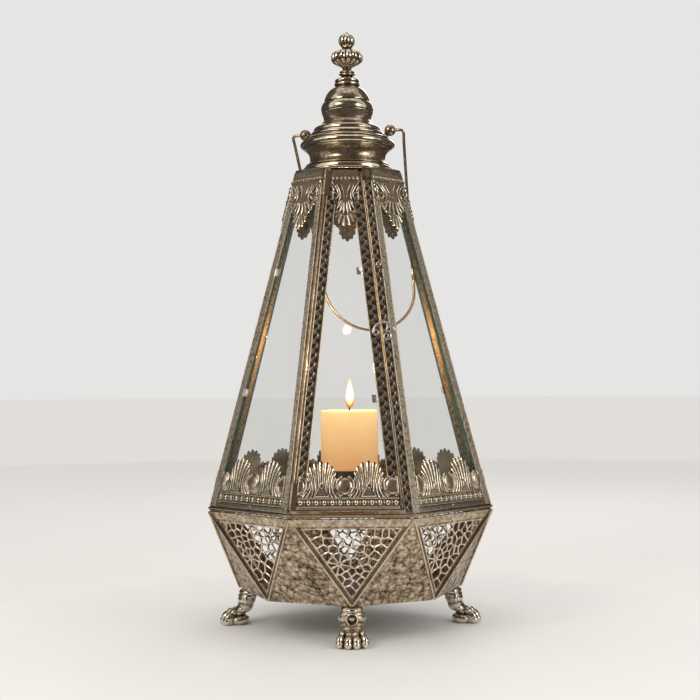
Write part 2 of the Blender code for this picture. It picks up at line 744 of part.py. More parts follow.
def door(brass, glass):
    outer = door_edges((0, 0), DOOR_BOTTOM, DOOR_TOP)
    inner = door_edges((DOOR_LEFT_STILE, DOOR_RIGHT_STILE), DOOR_BOTTOM + DOOR_RAIL, DOOR_TOP - DOOR_RAIL)
    front = 0.1 * MM
    back = front + DOOR_THICKNESS
    add_object("door_frame", framed_plate("door_frame", 0, outer, inner, front, back), brass)
    pane = door_edges((2.0 * MM, 4.0 * MM), DOOR_BOTTOM + 4 * MM, DOOR_TOP - 4 * MM)
    add_object("door_glass", plate("door_glass", 0, pane, back + GAP, back + GAP + GLASS_THICKNESS), glass)
    trim_back = front - GAP
    centre = (DOOR_LEFT - DOOR_RIGHT) / 2 - 2.0 * MM
    outline = frieze_outline(
        lambda v: -(half_width(v) - DOOR_TRIM_LEFT), lambda v: half_width(v) - DOOR_RIGHT - 2.6 * MM,
        DOOR_BOTTOM + 0.3 * MM, centre)
    lower = plate("door_lower_trim", 0, outline, trim_back - TRIM_THICKNESS, trim_back)
    add_object("door_lower_trim", lower, brass)
    top = DOOR_TOP - 0.5 * MM
    low = top - CROWN_BAND + 3 * MM
    left = -(half_width(top) - DOOR_TRIM_LEFT)
    right = half_width(top) - DOOR_RIGHT - 2.6 * MM
    pendant = pendant_outline((right - left) / 2, low, (left + right) / 2)
    upper = plate("door_upper_trim", 0, [(right, top), *pendant, (left, top)], trim_back - TRIM_THICKNESS, trim_back)
    add_object("door_upper_trim", upper, brass)


def hinge_point(z):
    """Point of the hinge line, the same depth inside the door's face and its left neighbour."""
    half = body_radius(z) * sin(HALF_SIDE)
    level = HINGE_DEPTH / cos(SLANT)
    return on_side(0, -(half - level * tan(HALF_SIDE)), z, level)


def hinge(finish):
    """Fixed rod along the door's left corner, and two rolled sleeves on the leaf that turn round it."""
    low, high = hinge_point(BODY_BOTTOM), hinge_point(BODY_TOP)
    add_object("hinge_rod", rod_mesh("hinge_rod", low, high, HINGE_ROD_R, 12), finish, smooth=True)
    inner = HINGE_ROD_R + 0.4 * MM
    outer = inner + HINGE_SLEEVE_WALL
    leaf = DOOR_TRIM_LEFT - GAP - HINGE_DEPTH * tan(HALF_SIDE)
    section = [(leaf, outer), *arc((0, 0), outer, pi / 2, radians(385), 12)]
    section += [*reversed(arc((0, 0), inner, pi / 2, radians(385), 12)), (leaf, inner)]
    along = (high - low).normalized()
    out = Vector((0, -cos(SLANT), sin(SLANT)))
    across = out.cross(along).normalized() * -1
    out = across.cross(along).normalized()
    out = out if out.y < 0 else -out
    across = across if across.x > 0 else -across
    span = (high - low).length
    starts = {"hinge_sleeve_bottom": HINGE_SLEEVE_INSET, "hinge_sleeve_top": span - HINGE_SLEEVE_INSET - HINGE_SLEEVE_LENGTH}
    for name, start in starts.items():
        rings = []
        for reach in (start, start + HINGE_SLEEVE_LENGTH):
            centre = low + along * reach
            rings.append([centre + across * x + out * y for x, y in section])
        add_object(name, loft(name, rings), finish, smooth=True)


def latch_at():
    """Place of the latch's rivet on the door's right stile."""
    return half_width(LATCH_V) - DOOR_RIGHT - LATCH_FROM_STILE, LATCH_V


def latch_path():
    """Hook: a curl under the rivet, then an arch over to the post."""
    x, v = latch_at()
    curl = arc((x, v), LATCH_CURL_R, radians(20), radians(-165), 9)
    half = LATCH_REACH / 2
    middle = x - LATCH_CURL_R + half
    arch = [(middle - half * cos(a), v + LATCH_RISE * sin(a)) for a in (pi * i / 14 for i in range(1, 15))]
    return curl + arch


def scroll_path():
    """Spiral on the middle of the post's leg, winding in from its top."""
    x, v = half_width(LATCH_V) - POST_LEG / 2, LATCH_V - SCROLL_DROP
    points = []
    steps = 22
    for i in range(steps + 1):
        a = radians(95) - radians(480) * i / steps
        r = SCROLL_OUTER_R + (SCROLL_INNER_R - SCROLL_OUTER_R) * i / steps
        points.append((x + r * cos(a), v + r * sin(a)))
    return points


def ribbon(name, path, width, front, back):
    """Flat wire of a width along a path on face 0 between two depths."""
    centre = np.array(path)
    along = np.gradient(centre, axis=0)
    along /= np.linalg.norm(along, axis=1)[:, None]
    side = np.stack((-along[:, 1], along[:, 0]), axis=1) * width / 2
    rings = []
    for p, s in zip(centre, side):
        rings.append([on_face(0, *(p + s), front), on_face(0, *(p + s), back),
                      on_face(0, *(p - s), back), on_face(0, *(p - s), front)])
    return loft(name, rings)


def latch(finish):
    """Hook and rivet on the door, and on the post the scroll that holds the hook and a small knob."""
    wire_back = -LATCH_STAND_OFF
    wire_front = wire_back - LATCH_WIRE
    add_object("door_latch", ribbon("door_latch", latch_path(), LATCH_WIRE, wire_front, wire_back), finish)
    scroll = ribbon("catch_scroll", scroll_path(), SCROLL_WIRE, -GAP - SCROLL_WIRE, -GAP)
    add_object("catch_scroll", scroll, finish)
    high = LATCH_STAND_OFF + LATCH_WIRE + GAP
    stem = (
        (0.0, GAP), (RIVET_STEM_R, GAP), (RIVET_STEM_R, high), (RIVET_HEAD_R, high),
        (RIVET_HEAD_R * 0.9, high + 0.8 * MM), (RIVET_HEAD_R * 0.5, high + 1.3 * MM), (0.0, high + 1.4 * MM),
    )
    knob = (
        (0.0, GAP), (KNOB_R * 0.6, GAP), (KNOB_R * 0.6, 1.2 * MM), (KNOB_R, 2.0 * MM),
        (KNOB_R, 3.0 * MM), (KNOB_R * 0.6, 4.2 * MM), (0.0, 4.6 * MM),
    )
    knob_x = half_width(KNOB_V) - POST_LEG / 2
    for name, profile, place in (("latch_rivet", stem, latch_at()), ("post_knob", knob, (knob_x, KNOB_V))):
        stud = add_object(name, turned(name, profile, 12), finish, smooth=True)
        stud.location = on_face(0, *place, 0)
        stud.rotation_euler.x = pi / 2 - SLANT


def roof_profile():
    """Outer line of the turned roof from its foot to its neck: radius, and height above the body, in head steps."""
    return (
        (45.5, 3.2), (45.5, 8.0), (42.0, 11.0), (39.6, 14.5), (39.8, 20.0), (43.0, 26.0), (48.4, 29.0),
        (49.3, 32.0), (48.4, 34.5), (45.0, 37.3), (38.5, 41.5), (37.5, 45.0), (35.0, 46.0), (34.0, 50.3),
        (28.0, 54.0), (24.6, 57.5), (24.4, 63.0), (27.0, 67.5), (27.4, 71.0), (26.5, 74.0), (23.6, 77.0),
        (23.2, 81.0), (20.0, 87.5), (15.0, 92.0), (12.0, 94.0), (11.7, 101.5),
    )


def roof(finish):
    """Eight-sided top plate with a round vent, and the hollow turned roof that stands on it."""
    radius, top = TOP_R + TOP_PLATE_PROUD, TOP_Z + TOP_PLATE_THICKNESS
    rings = []
    count = 4 * SIDES
    for i in range(count):
        t = -pi / 2 + HALF_SIDE + 2 * pi * i / count
        within_side = (i % 4) / 4 * 2 * HALF_SIDE - HALF_SIDE
        edge = radius * cos(HALF_SIDE) / cos(within_side)
        profile = ((edge - 0.6 * MM, TOP_Z), (edge, TOP_Z + 0.8 * MM), (edge, top - 0.8 * MM),
                   (edge - 0.8 * MM, top), (TOP_HOLE_R, top), (TOP_HOLE_R, TOP_Z))
        rings.append([(r * cos(t), r * sin(t), z) for r, z in profile])
    add_object("top_plate", loft("top_plate", rings, closed=True), finish)
    outer = [(r * HEAD_STEP, TOP_Z + z * HEAD_STEP) for r, z in roof_profile()]
    inner = [(r - ROOF_WALL, z - (ROOF_WALL * 0.6 if i else 0)) for i, (r, z) in enumerate(outer[:-2:2])]
    closing = [(ROOF_TOP_HOLE_R, outer[-1][1]), (ROOF_TOP_HOLE_R, outer[-1][1] - 2 * ROOF_WALL),
               (9.0 * HEAD_STEP, outer[-1][1] - 2 * ROOF_WALL)]
    profile = outer + closing + inner[::-1]
    add_object("roof_cap", turned("roof_cap", profile, 32), finish, smooth=True)


def finial(finish):
    """Turned finial with a gadrooned bulb and a fluted bud, on a stem through the roof's neck."""
    seat = TOP_Z + roof_profile()[-1][1] * HEAD_STEP + GAP
    line = (
        (9.5, 0.0), (9.8, 1.5), (6.5, 3.2), (7.6, 5.0), (8.3, 7.0), (5.2, 9.2), (4.8, 11.0), (9.5, 15.0),
        (14.5, 18.5), (16.4, 21.6), (15.4, 26.0), (10.0, 30.0), (5.3, 32.8), (6.0, 35.0), (8.2, 39.5),
        (8.3, 42.5), (6.0, 46.5), (1.8, 49.0), (0.0, 50.2),
    )
    base = seat - 6.0 * HEAD_STEP
    stem = [(0.0, base), (FINIAL_STEM_R, base), (FINIAL_STEM_R, seat)]
    heights = stem + [(r * HEAD_STEP, seat + z * HEAD_STEP) for r, z in line]

    def fluting(i, z):
        step = (z - seat) / HEAD_STEP
        swell = 12 < step < 31 or 34 < step < 47
        return (1.0, 0.90)[i % 2] if swell else 1.0

    add_object("finial", turned("finial", heights, 2 * GADROONS, fluting), finish, smooth=True)


def bail_frame():
    """Axis of the bail, the way back from it, and the middle between the lugs."""
    axis = Vector((cos(BAIL_YAW), sin(BAIL_YAW), 0))
    back = Vector((-sin(BAIL_YAW), cos(BAIL_YAW), 0))
    return axis, back, Vector((0, 0, LUG_Z))


def bail_lugs(finish):
    axis, _, middle = bail_frame()
    for name, way in (("bail_lug_left", -1), ("bail_lug_right", 1)):
        out = axis * way
        profile = [(LUG_R * sin(a), -LUG_R * cos(a)) for a in (pi * i / 10 for i in range(9))]
        neck = [(LUG_STEM_R, LUG_R * 0.9), (LUG_STEM_R, LUG_R + LUG_STEM_LENGTH), (0.0, LUG_R + LUG_STEM_LENGTH)]
        lug = add_object(name, turned(name, profile + neck, 16), finish, smooth=True)
        place = middle + out * LUG_OUT
        lean = -out * cos(LUG_LEAN) + Vector((0, 0, -sin(LUG_LEAN)))
        lug.rotation_mode = "QUATERNION"
        lug.rotation_quaternion = lean.to_track_quat("Z", "Y")
        lug.location = place
        hole = rod_mesh("hole", place - out * 1.8 * MM, place + out * 9 * MM, BAIL_WIRE_R + BAIL_HOLE_CLEARANCE, 12)
        cutter = add_object(name + "_hole", hole, finish)
        hide_cutter(cutter)
        cut(lug, cutter)


def bail_handle(finish):
    """One wire: an end in each lug, two arms and a round bow, hanging against the back."""
    axis, back, middle = bail_frame()
    down = back * sin(BAIL_REST) - Vector((0, 0, cos(BAIL_REST)))
    inner = LUG_OUT - 1.2 * MM
    corner = 3.5 * MM
    side = [(inner, 0.0), (BAIL_HALF_TOP - corner, 0.0)]
    side += [(BAIL_HALF_TOP - corner + x, corner - y) for x, y in arc((0, 0), corner, pi / 2, 0, 3)][1:]
    side += [(BAIL_ARC_R + (BAIL_HALF_TOP - BAIL_ARC_R) * 0.5, BAIL_DROP * 0.5)]
    bow = [(x, BAIL_DROP + y) for x, y in arc((0, 0), BAIL_ARC_R, 0, pi, 16)]
    flat = side + bow + [(-x, y) for x, y in reversed(side)]
    points = [middle + axis * x + down * y for x, y in flat]
    add_object("bail_handle", tube("bail_handle", points, BAIL_WIRE_R), finish)


def build():
    clear_scene()
    silver = material("aged_silver", (0.62, 0.53, 0.43), 1.0, 0.38)
    dark = material("dark_silver", (0.36, 0.29, 0.23), 1.0, 0.45)
    bright = material("polished_silver", (0.72, 0.62, 0.50), 1.0, 0.24)
    glass = material("clear_glass", (0.93, 0.97, 0.94), 0.0, 0.03, 0.2)
    wax = material("cream_wax", (0.93, 0.72, 0.43), 0.0, 0.55)
    cotton = material("burnt_cotton", (0.06, 0.05, 0.04), 0.0, 0.9)
    base_shell(silver)
    grilles(bright)
    base_edge_moulding(bright)
    bottom_plate(dark)
    feet(silver)
    waist_rim(bright)
    candle_bridge(dark)
    candle_dish(dark)
    candle(wax, cotton)
    corner_posts(silver)
    glass_panes(glass)
    lower_friezes(silver)
    crown_band(silver)
    door(silver, glass)
    hinge(bright)
    latch(bright)
    roof(bright)
    finial(bright)
    bail_lugs(bright)
    bail_handle(bright)


build()
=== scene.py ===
"""Looks of an eight-sided candle lantern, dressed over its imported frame.

Every length is in metres, +Z is up, and the door is on face 0, which looks along -Y. Faces and corners are
counted counter-clockwise seen from above, and corner k is on the right of face k.
"""

import logging
from collections.abc import Callable, Sequence
from dataclasses import dataclass
from enum import Enum
from math import atan2, cos, pi, radians, sin, sqrt

import bmesh
import bpy
import numpy as np
from mathutils import Matrix, Vector

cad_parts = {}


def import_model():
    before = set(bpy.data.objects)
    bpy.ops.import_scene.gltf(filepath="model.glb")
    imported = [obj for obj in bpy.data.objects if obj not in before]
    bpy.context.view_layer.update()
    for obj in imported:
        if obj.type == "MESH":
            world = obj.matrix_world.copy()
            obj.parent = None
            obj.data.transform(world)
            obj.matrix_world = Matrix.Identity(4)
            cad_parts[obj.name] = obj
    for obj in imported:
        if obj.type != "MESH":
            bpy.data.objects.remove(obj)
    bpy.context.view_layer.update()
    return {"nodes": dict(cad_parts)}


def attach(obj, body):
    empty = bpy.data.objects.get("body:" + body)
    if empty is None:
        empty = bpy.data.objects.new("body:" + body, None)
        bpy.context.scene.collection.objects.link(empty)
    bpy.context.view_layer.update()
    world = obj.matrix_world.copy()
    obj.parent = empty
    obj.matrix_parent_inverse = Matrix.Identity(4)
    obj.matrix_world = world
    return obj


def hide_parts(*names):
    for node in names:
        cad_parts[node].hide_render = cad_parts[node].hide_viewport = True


LOG = logging.getLogger("lantern")
MM = 0.001
SIDES = 8
HALF_SIDE = pi / SIDES
MERGE = 1e-7  # points closer than this count as one
TIP_R = 1e-6  # radius of the circle that ends a round bar
Colour = tuple[float, float, float]
Triple = tuple[float, float, float]
Stroke = tuple[tuple[tuple[float, float], ...], float, float]
Array = np.ndarray


class Body(Enum):
    """Bodies of the lantern that a piece can ride on."""

    LANTERN = "lantern"
    DOOR = "door"
    LATCH = "latch"
    BAIL = "bail"


class CellMeasure(Enum):
    """What a pattern of cells is read for: the distance from a cell's middle, or from the seams."""

    MIDDLE = "F1"
    SEAM = "DISTANCE_TO_EDGE"


@dataclass(frozen=True)
class Shape:
    """Main sizes of the frame, and the places on its sloping faces."""

    waist_z: float = 125.7 * MM
    waist_r: float = 152.0 * MM
    top_z: float = 465.1 * MM
    top_r: float = 57.8 * MM
    lower_z: float = 36.6 * MM
    lower_r: float = 114.0 * MM
    rim_half: float = 2.0 * MM
    shell_wall: float = 1.5 * MM
    gap: float = 0.3 * MM

    @property
    def slant(self) -> float:
        """Lean of the glazed faces from upright."""
        return atan2((self.waist_r - self.top_r) * cos(HALF_SIDE), self.top_z - self.waist_z)

    def radius(self, z: Array | float) -> Array | float:
        """Corner radius of the glazed body at a height."""
        return self.waist_r + (self.top_r - self.waist_r) * (z - self.waist_z) / (self.top_z - self.waist_z)

    def half_width(self, v: Array | float) -> Array | float:
        """Half of a face's width, a distance v up its slope."""
        return self.radius(self.waist_z + v * cos(self.slant)) * sin(HALF_SIDE)

    def face_angle(self, k: int) -> float:
        """Direction that face k looks in."""
        return -pi / 2 + 2 * HALF_SIDE * k

    def on_face(self, k: int, x: Array, v: Array, depth: Array | float) -> Array:
        """Points of face k.

        Args:
            k: Number of the face.
            x: Distances along the face from its middle.
            v: Distances up its slope from the waist.
            depth: Distances square to the face, positive inwards.

        Returns:
            An array of points with one more axis than x.
        """
        x, v, depth = np.broadcast_arrays(x, v, depth)
        turn = self.face_angle(k)
        out = self.waist_r * cos(HALF_SIDE) - v * sin(self.slant) - depth * cos(self.slant)
        z = self.waist_z + v * cos(self.slant) - depth * sin(self.slant)
        return np.stack((out * cos(turn) - x * sin(turn), out * sin(turn) + x * cos(turn), z), axis=-1)

    def waist_corner(self, k: int) -> Array:
        """Base corner under the waist, on the right of face k."""
        turn = self.face_angle(k) + HALF_SIDE
        low = self.waist_z - self.rim_half - self.gap - 0.7 * self.shell_wall
        return np.array((self.waist_r * cos(turn), self.waist_r * sin(turn), low))

    def lower_corner(self, k: int) -> Array:
        """Bottom corner of the base under face k."""
        turn = self.face_angle(k)
        return np.array((self.lower_r * cos(turn), self.lower_r * sin(turn), self.lower_z))


SHAPE = Shape()


class MeshMaker:
    """Gathers surfaces, each worked out on a grid of two parameters, into one mesh."""

    def __init__(self) -> None:
        """Starts with no surface."""
        self.points: list[Array] = []
        self.faces: list[Sequence[int]] = []
        self.count = 0

    def _add_points(self, points: Array) -> int:
        """Stores points and returns the number of the first."""
        start = self.count
        self.points.append(points.reshape(-1, 3))
        self.count += self.points[-1].shape[0]
        return start

    def grid(self, surface: Array, wrap_rows: bool = False, wrap_columns: bool = False) -> None:
        """Adds a grid of points as four-sided faces.

        Args:
            surface: Points in rows and columns, with shape (rows, columns, 3).
            wrap_rows: Whether the last row joins the first.
            wrap_columns: Whether the last column joins the first.
        """
        rows, columns = surface.shape[:2]
        index = np.arange(rows * columns).reshape(rows, columns) + self._add_points(surface)
        if wrap_rows:
            index = np.vstack((index, index[:1]))
        if wrap_columns:
            index = np.hstack((index, index[:, :1]))
        quads = np.stack((index[:-1, :-1], index[1:, :-1], index[1:, 1:], index[:-1, 1:]), axis=-1)
        self.faces += quads.reshape(-1, 4).tolist()

    def slab(self, front: Array, back: Array) -> None:
        """Adds a grid closed by a skirt and one flat back.

        Args:
            front: Points in rows and columns.
            back: The same grid moved to the back plane, of which the rim is used.
        """
        rows, columns = front.shape[:2]
        start = self.count
        self.grid(front)
        index = np.arange(rows * columns).reshape(rows, columns)
        rim = np.concatenate((index[0, :-1], index[:-1, -1], index[-1, :0:-1], index[:0:-1, 0]))
        behind = self._add_points(back.reshape(-1, 3)[rim]) + np.arange(len(rim))
        edge = rim + start
        skirt = np.stack((edge, np.roll(edge, -1), np.roll(behind, -1), behind), axis=-1)
        self.faces += skirt.tolist()
        self.faces.append(behind[::-1].tolist())

    def turned(self, profile: Array, steps: int, place: Matrix | None = None,
               fluting: Callable[[Array, Array], Array] | None = None) -> None:
        """Adds a profile of (radius, height) turned about its axis.

        Args:
            profile: Points of the line with shape (count, 2), from end to end.
            steps: Number of places round the axis.
            place: Where the turned shape goes, or None for the middle of the floor.
            fluting: Factor on the radius from the angles and the heights.
        """
        angle = np.linspace(0, 2 * pi, steps, endpoint=False)[None, :]
        radius, height = profile[:, :1] + 0 * angle, profile[:, 1:] + 0 * angle
        if fluting:
            radius = radius * fluting(angle + 0 * radius, height)
        surface = np.stack((radius * np.cos(angle), radius * np.sin(angle), height), axis=-1)
        self.grid(moved(surface, place) if place else surface, wrap_columns=True)

    def tube(self, path: Array, radius: Array | float, sides: int = 10, closed: bool = False) -> None:
        """Adds a round bar along a path: circles square to it, with domed ends when it is open.

        Args:
            path: Points along the middle, with shape (count, 3).
            radius: Radius, or one for each point.
            sides: Number of flats round the bar.
            closed: Whether the path runs back to its start.
        """
        radius = np.broadcast_to(radius, len(path)).astype(float)
        if not closed:
            path, radius = domed(path, radius)
        along = np.roll(path, -1, axis=0) - np.roll(path, 1, axis=0)
        if not closed:
            along[0], along[-1] = path[1] - path[0], path[-1] - path[-2]
        along /= np.linalg.norm(along, axis=1)[:, None]
        first, second = carried_axes(along, closed)
        angle = np.linspace(0, 2 * pi, sides, endpoint=False)
        ring = first[:, None] * np.cos(angle)[None, :, None] + second[:, None] * np.sin(angle)[None, :, None]
        self.grid(path[:, None] + ring * radius[:, None, None], wrap_rows=closed, wrap_columns=True)

    def raw_mesh(self, name: str) -> bpy.types.Mesh:
        """Makes a mesh of the surfaces as they were added."""
        mesh = bpy.data.meshes.new(name)
        mesh.from_pydata(np.concatenate(self.points).tolist(), [], self.faces)
        return mesh

    def closed_mesh(self, name: str, merge: float = MERGE) -> bpy.types.Mesh:
        """Makes a mesh whose seams are merged, points closer than merge together, and whose faces look out."""
        mesh = self.raw_mesh(name)
        shape = bmesh.new()
        shape.from_mesh(mesh)
        bmesh.ops.remove_doubles(shape, verts=shape.verts[:], dist=merge)
        bmesh.ops.dissolve_degenerate(shape, edges=shape.edges[:], dist=MERGE)
        bmesh.ops.recalc_face_normals(shape, faces=shape.faces[:])
        shape.to_mesh(mesh)
        shape.free()
        return mesh

    def finish(self, name: str, material: bpy.types.Material, body: Body, sharp: float = 40.0,
               patina_and_shade: float = 0.6) -> bpy.types.Object:
        """Makes the object, and works out how dark its hollows are, for tarnish and painted shade.

        Args:
            name: Name of the piece.
            material: Finish of the piece.
            body: Body that carries it.
            sharp: Least angle of an edge that stays crisp, in degrees.
            patina_and_shade: Reach of the tarnish and painted shade in the hollows, in millimetres.

        Returns:
            The new object, riding on the body.
        """
        mesh = self.closed_mesh(name)
        mesh.shade_smooth()
        mesh.set_sharp_from_angle(angle=radians(sharp))
        darken_hollows(mesh, patina_and_shade * MM)
        return place_piece(name, mesh, material, body)


def place_object(name: str, data: bpy.types.ID) -> bpy.types.Object:
    """Puts a mesh, a lamp or a camera in the scene as an object at the origin."""
    made = bpy.data.objects.new(name, data)
    bpy.context.scene.collection.objects.link(made)
    return made


def place_piece(name: str, mesh: bpy.types.Mesh, material: bpy.types.Material, body: Body) -> bpy.types.Object:
    """Puts a mesh in the scene as a piece that rides on a body."""
    mesh.materials.append(material)
    piece = place_object(name, mesh)
    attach(piece, body.value)
    LOG.info("%s: %d faces on %s", name, len(mesh.polygons), body.value)
    return piece


def moved(points: Array, place: Matrix) -> Array:
    """Points turned and moved by a matrix."""
    grid = np.array(place)
    return points @ grid[:3, :3].T + grid[:3, 3]


def domed(path: Array, radius: Array) -> tuple[Array, Array]:
    """Rounds both ends of a path over: shrinking circles past each end, whose radii are a cosine.

    Args:
        path: Points along the middle.
        radius: Radius at each point.

    Returns:
        The longer path, and its radii.
    """
    turn = np.array((0.0, 0.35, 0.7, 0.95)) * pi / 2
    first = (path[0] - path[1]) / np.linalg.norm(path[0] - path[1])
    last = (path[-1] - path[-2]) / np.linalg.norm(path[-1] - path[-2])
    head = path[0] + first * (radius[0] * np.sin(turn))[::-1, None]
    tail = path[-1] + last * (radius[-1] * np.sin(turn))[:, None]
    ends, past = np.cos(turn), 0.02
    points = np.vstack((head[:1] + first * past * radius[0], head, path[1:-1], tail,
                        tail[-1:] + last * past * radius[-1]))
    return points, np.concatenate(([TIP_R], radius[0] * ends[::-1], radius[1:-1], radius[-1] * ends, [TIP_R]))


def carried_axes(along: Array, closed: bool) -> tuple[Array, Array]:
    """Carries two axes along a path without twist: each is the last one made square to the path again.

    Args:
        along: Direction of the path at each point.
        closed: Whether the path runs back to its start, and what twist is left is spread over it.

    Returns:
        The two axes at each point.
    """
    lead = np.array((0.0, 0.0, 1.0)) if abs(along[0, 2]) < 0.9 else np.array((1.0, 0.0, 0.0))
    firsts = []
    for direction in along:
        lead = lead - direction * (lead @ direction)
        lead = lead / np.linalg.norm(lead)
        firsts.append(lead)
    first = np.array(firsts)
    if closed:
        last = first[-1] - along[0] * (first[-1] @ along[0])
        last /= np.linalg.norm(last)
        slip = atan2(float(np.cross(last, first[0]) @ along[0]), float(last @ first[0]))
        turn = np.linspace(0, slip, len(along), endpoint=False)[:, None]
        first = first * np.cos(turn) + np.cross(along, first) * np.sin(turn)
    return first, np.cross(along, first)


def vertex_rows(mesh: bpy.types.Mesh, name: str) -> Array:
    """The three numbers of each vertex under a name, co or normal, in rows."""
    flat = np.empty(len(mesh.vertices) * 3, np.float32)
    mesh.vertices.foreach_get(name, flat)
    return flat.reshape(-1, 3)


def darken_hollows(mesh: bpy.types.Mesh, reach: float) -> None:
    """Stores how deep each point lies among its neighbours, as the attribute patina_and_shade, by which the finishes
    paint tarnish and shade in the hollows.

    The measure is the mean slope up to the neighbours along the point's normal, spread over a few rings of
    points, and scaled so that a hollow as tight as the reach is fully dark.

    Args:
        mesh: Mesh that gets the attribute.
        reach: Radius of a hollow that is fully dark.
    """
    count = len(mesh.vertices)
    points, normals = vertex_rows(mesh, "co").astype(float), vertex_rows(mesh, "normal").astype(float)
    ends = np.empty(len(mesh.edges) * 2, np.int32)
    mesh.edges.foreach_get("vertices", ends)
    ends = ends.reshape(-1, 2)
    a, b = np.concatenate((ends[:, 0], ends[:, 1])), np.concatenate((ends[:, 1], ends[:, 0]))
    step = points[b] - points[a]
    length = np.maximum((step ** 2).sum(axis=1), 1e-12)
    bend = (step * normals[a]).sum(axis=1) / length
    near = np.maximum(np.bincount(a, minlength=count), 1)
    hollow = np.bincount(a, bend, count) / near * reach
    for _ in range(3):
        hollow = 0.5 * hollow + 0.5 * np.bincount(a, hollow[b], count) / near
    # Tarnish and painted shade: the finishes darken the hollows by this value.
    layer = mesh.attributes.new("patina_and_shade", "FLOAT", "POINT")
    layer.data.foreach_set("value", np.clip(hollow, -1, 1).astype(np.float32))


def spline(points: Sequence[Sequence[float]], count: int) -> Array:
    """Draws a smooth line through points: a Catmull-Rom curve sampled evenly in its parameter.

    Args:
        points: Points that the line passes.
        count: Number of samples.

    Returns:
        The samples in rows.
    """
    knots = np.array(points, float)
    knots = np.vstack((2 * knots[0] - knots[1], knots, 2 * knots[-1] - knots[-2]))
    place = np.linspace(0, len(points) - 1, count)
    index = np.minimum(place.astype(int), len(points) - 2)
    t = (place - index)[:, None]
    a, b, c, d = (knots[index + i] for i in range(4))
    return 0.5 * (2 * b + (c - a) * t + (2 * a - 5 * b + 4 * c - d) * t ** 2 + (3 * b - a - 3 * c + d) * t ** 3)


class Term:
    """A number in a shader. Arithmetic on it adds Math nodes to its material."""

    def __init__(self, graph: "Graph", socket: bpy.types.NodeSocket) -> None:
        """Wraps an output socket of a graph."""
        self.graph, self.socket = graph, socket

    def _math(self, operation: str, *values: "Term | float", clamp: bool = False) -> "Term":
        """Result of a Math node on these values."""
        settings = {"operation": operation, "use_clamp": clamp}
        return self.graph.term("ShaderNodeMath", settings, dict(enumerate(values)))

    def __add__(self, other: "Term | float") -> "Term":
        """This value plus another."""
        return self._math("ADD", self, other)

    __radd__ = __add__

    def __mul__(self, other: "Term | float") -> "Term":
        """This value times another."""
        return self._math("MULTIPLY", self, other)

    __rmul__ = __mul__

    def __sub__(self, other: "Term | float") -> "Term":
        """This value less another."""
        return self._math("SUBTRACT", self, other)

    def __rsub__(self, other: "Term | float") -> "Term":
        """Another value less this one."""
        return self._math("SUBTRACT", other, self)

    def __pow__(self, exponent: float) -> "Term":
        """This value raised to a power."""
        return self._math("POWER", self, exponent)

    def held(self) -> "Term":
        """This value kept between 0 and 1."""
        return self._math("ADD", self, 0.0, clamp=True)

    def step(self, start: float, end: float) -> "Term":
        """A smooth change from 0 at start to 1 at end."""
        settings = {"interpolation_type": "SMOOTHSTEP"}
        sockets = {"Value": self, "From Min": start, "From Max": end}
        return self.graph.term("ShaderNodeMapRange", settings, sockets)


class Graph:
    """The nodes of one material, built by name."""

    def __init__(self, name: str) -> None:
        """Makes a material with a Principled shader."""
        self.material = bpy.data.materials.new(name)
        self.material.use_nodes = True
        self.tree = self.material.node_tree
        self.shader = self.tree.nodes["Principled BSDF"]
        self.place = self.node("ShaderNodeTexCoord").outputs["Object"]

    def node(self, kind: str, settings: dict | None = None, sockets: dict | None = None) -> bpy.types.Node:
        """Adds one node.

        Args:
            kind: Blender's name of the node's type.
            settings: Its settings, set first. stops holds the (place, colour) pairs of a ramp.
            sockets: Values or links of its inputs, by name or number.

        Returns:
            The node.
        """
        made = self.tree.nodes.new(kind)
        for key, value in (settings or {}).items():
            if key == "stops":
                set_stops(made.color_ramp, value)
            else:
                setattr(made, key, value)
        self.fill(made, sockets or {})
        return made

    def fill(self, node: bpy.types.Node, sockets: dict) -> None:
        """Sets or links inputs of a node."""
        for key, value in sockets.items():
            value = value.socket if isinstance(value, Term) else value
            if isinstance(value, bpy.types.NodeSocket):
                self.tree.links.new(value, node.inputs[key])
            else:
                node.inputs[key].default_value = value

    def term(self, kind: str, settings: dict | None = None, sockets: dict | None = None,
             output: int | str = 0) -> Term:
        """Adds one node and wraps an output of it."""
        return Term(self, self.node(kind, settings, sockets).outputs[output])

    def noise(self, size: float, detail: float = 3.0, stretch: Triple | None = None) -> Term:
        """Adds cloudy noise.

        Args:
            size: Rough size of its blotches.
            detail: Number of finer layers in it.
            stretch: Factor on each axis; blotches are finer along an axis with a larger one.

        Returns:
            A value from 0 to 1.
        """
        place = self.place
        if stretch:
            place = self.node("ShaderNodeMapping", {}, {"Vector": place, "Scale": stretch}).outputs[0]
        return self.term("ShaderNodeTexNoise", {}, {"Vector": place, "Scale": 1 / size, "Detail": detail})

    def cells(self, size: float, measure: CellMeasure) -> Term:
        """A distance in a pattern of cells whose scattered middles are about this far apart."""
        sockets = {"Vector": self.place, "Scale": 1 / size, "Randomness": 0.75}
        return self.term("ShaderNodeTexVoronoi", {"feature": measure.value}, sockets, "Distance")

    def ramp(self, factor: Term, *stops: tuple[float, Colour]) -> bpy.types.NodeSocket:
        """Colour read from a ramp."""
        return self.node("ShaderNodeValToRGB", {"stops": stops}, {0: factor}).outputs[0]

    def height(self) -> Term:
        """Height above the floor."""
        return self.term("ShaderNodeSeparateXYZ", {}, {0: self.place}, 2)

    def bump(self, height: Term, distance: float, strength: float = 1.0) -> None:
        """Presses a height into the surface."""
        made = self.node("ShaderNodeBump", {}, {"Height": height, "Distance": distance, "Strength": strength})
        self.tree.links.new(made.outputs[0], self.shader.inputs["Normal"])


def set_stops(ramp: bpy.types.ColorRamp, stops: Sequence[tuple[float, Colour]]) -> None:
    """Gives a colour ramp its stops."""
    while len(ramp.elements) < len(stops):
        ramp.elements.new(0.5)
    for element, (place, colour) in zip(ramp.elements, stops):
        element.position = place
        element.color = (*colour, 1.0)


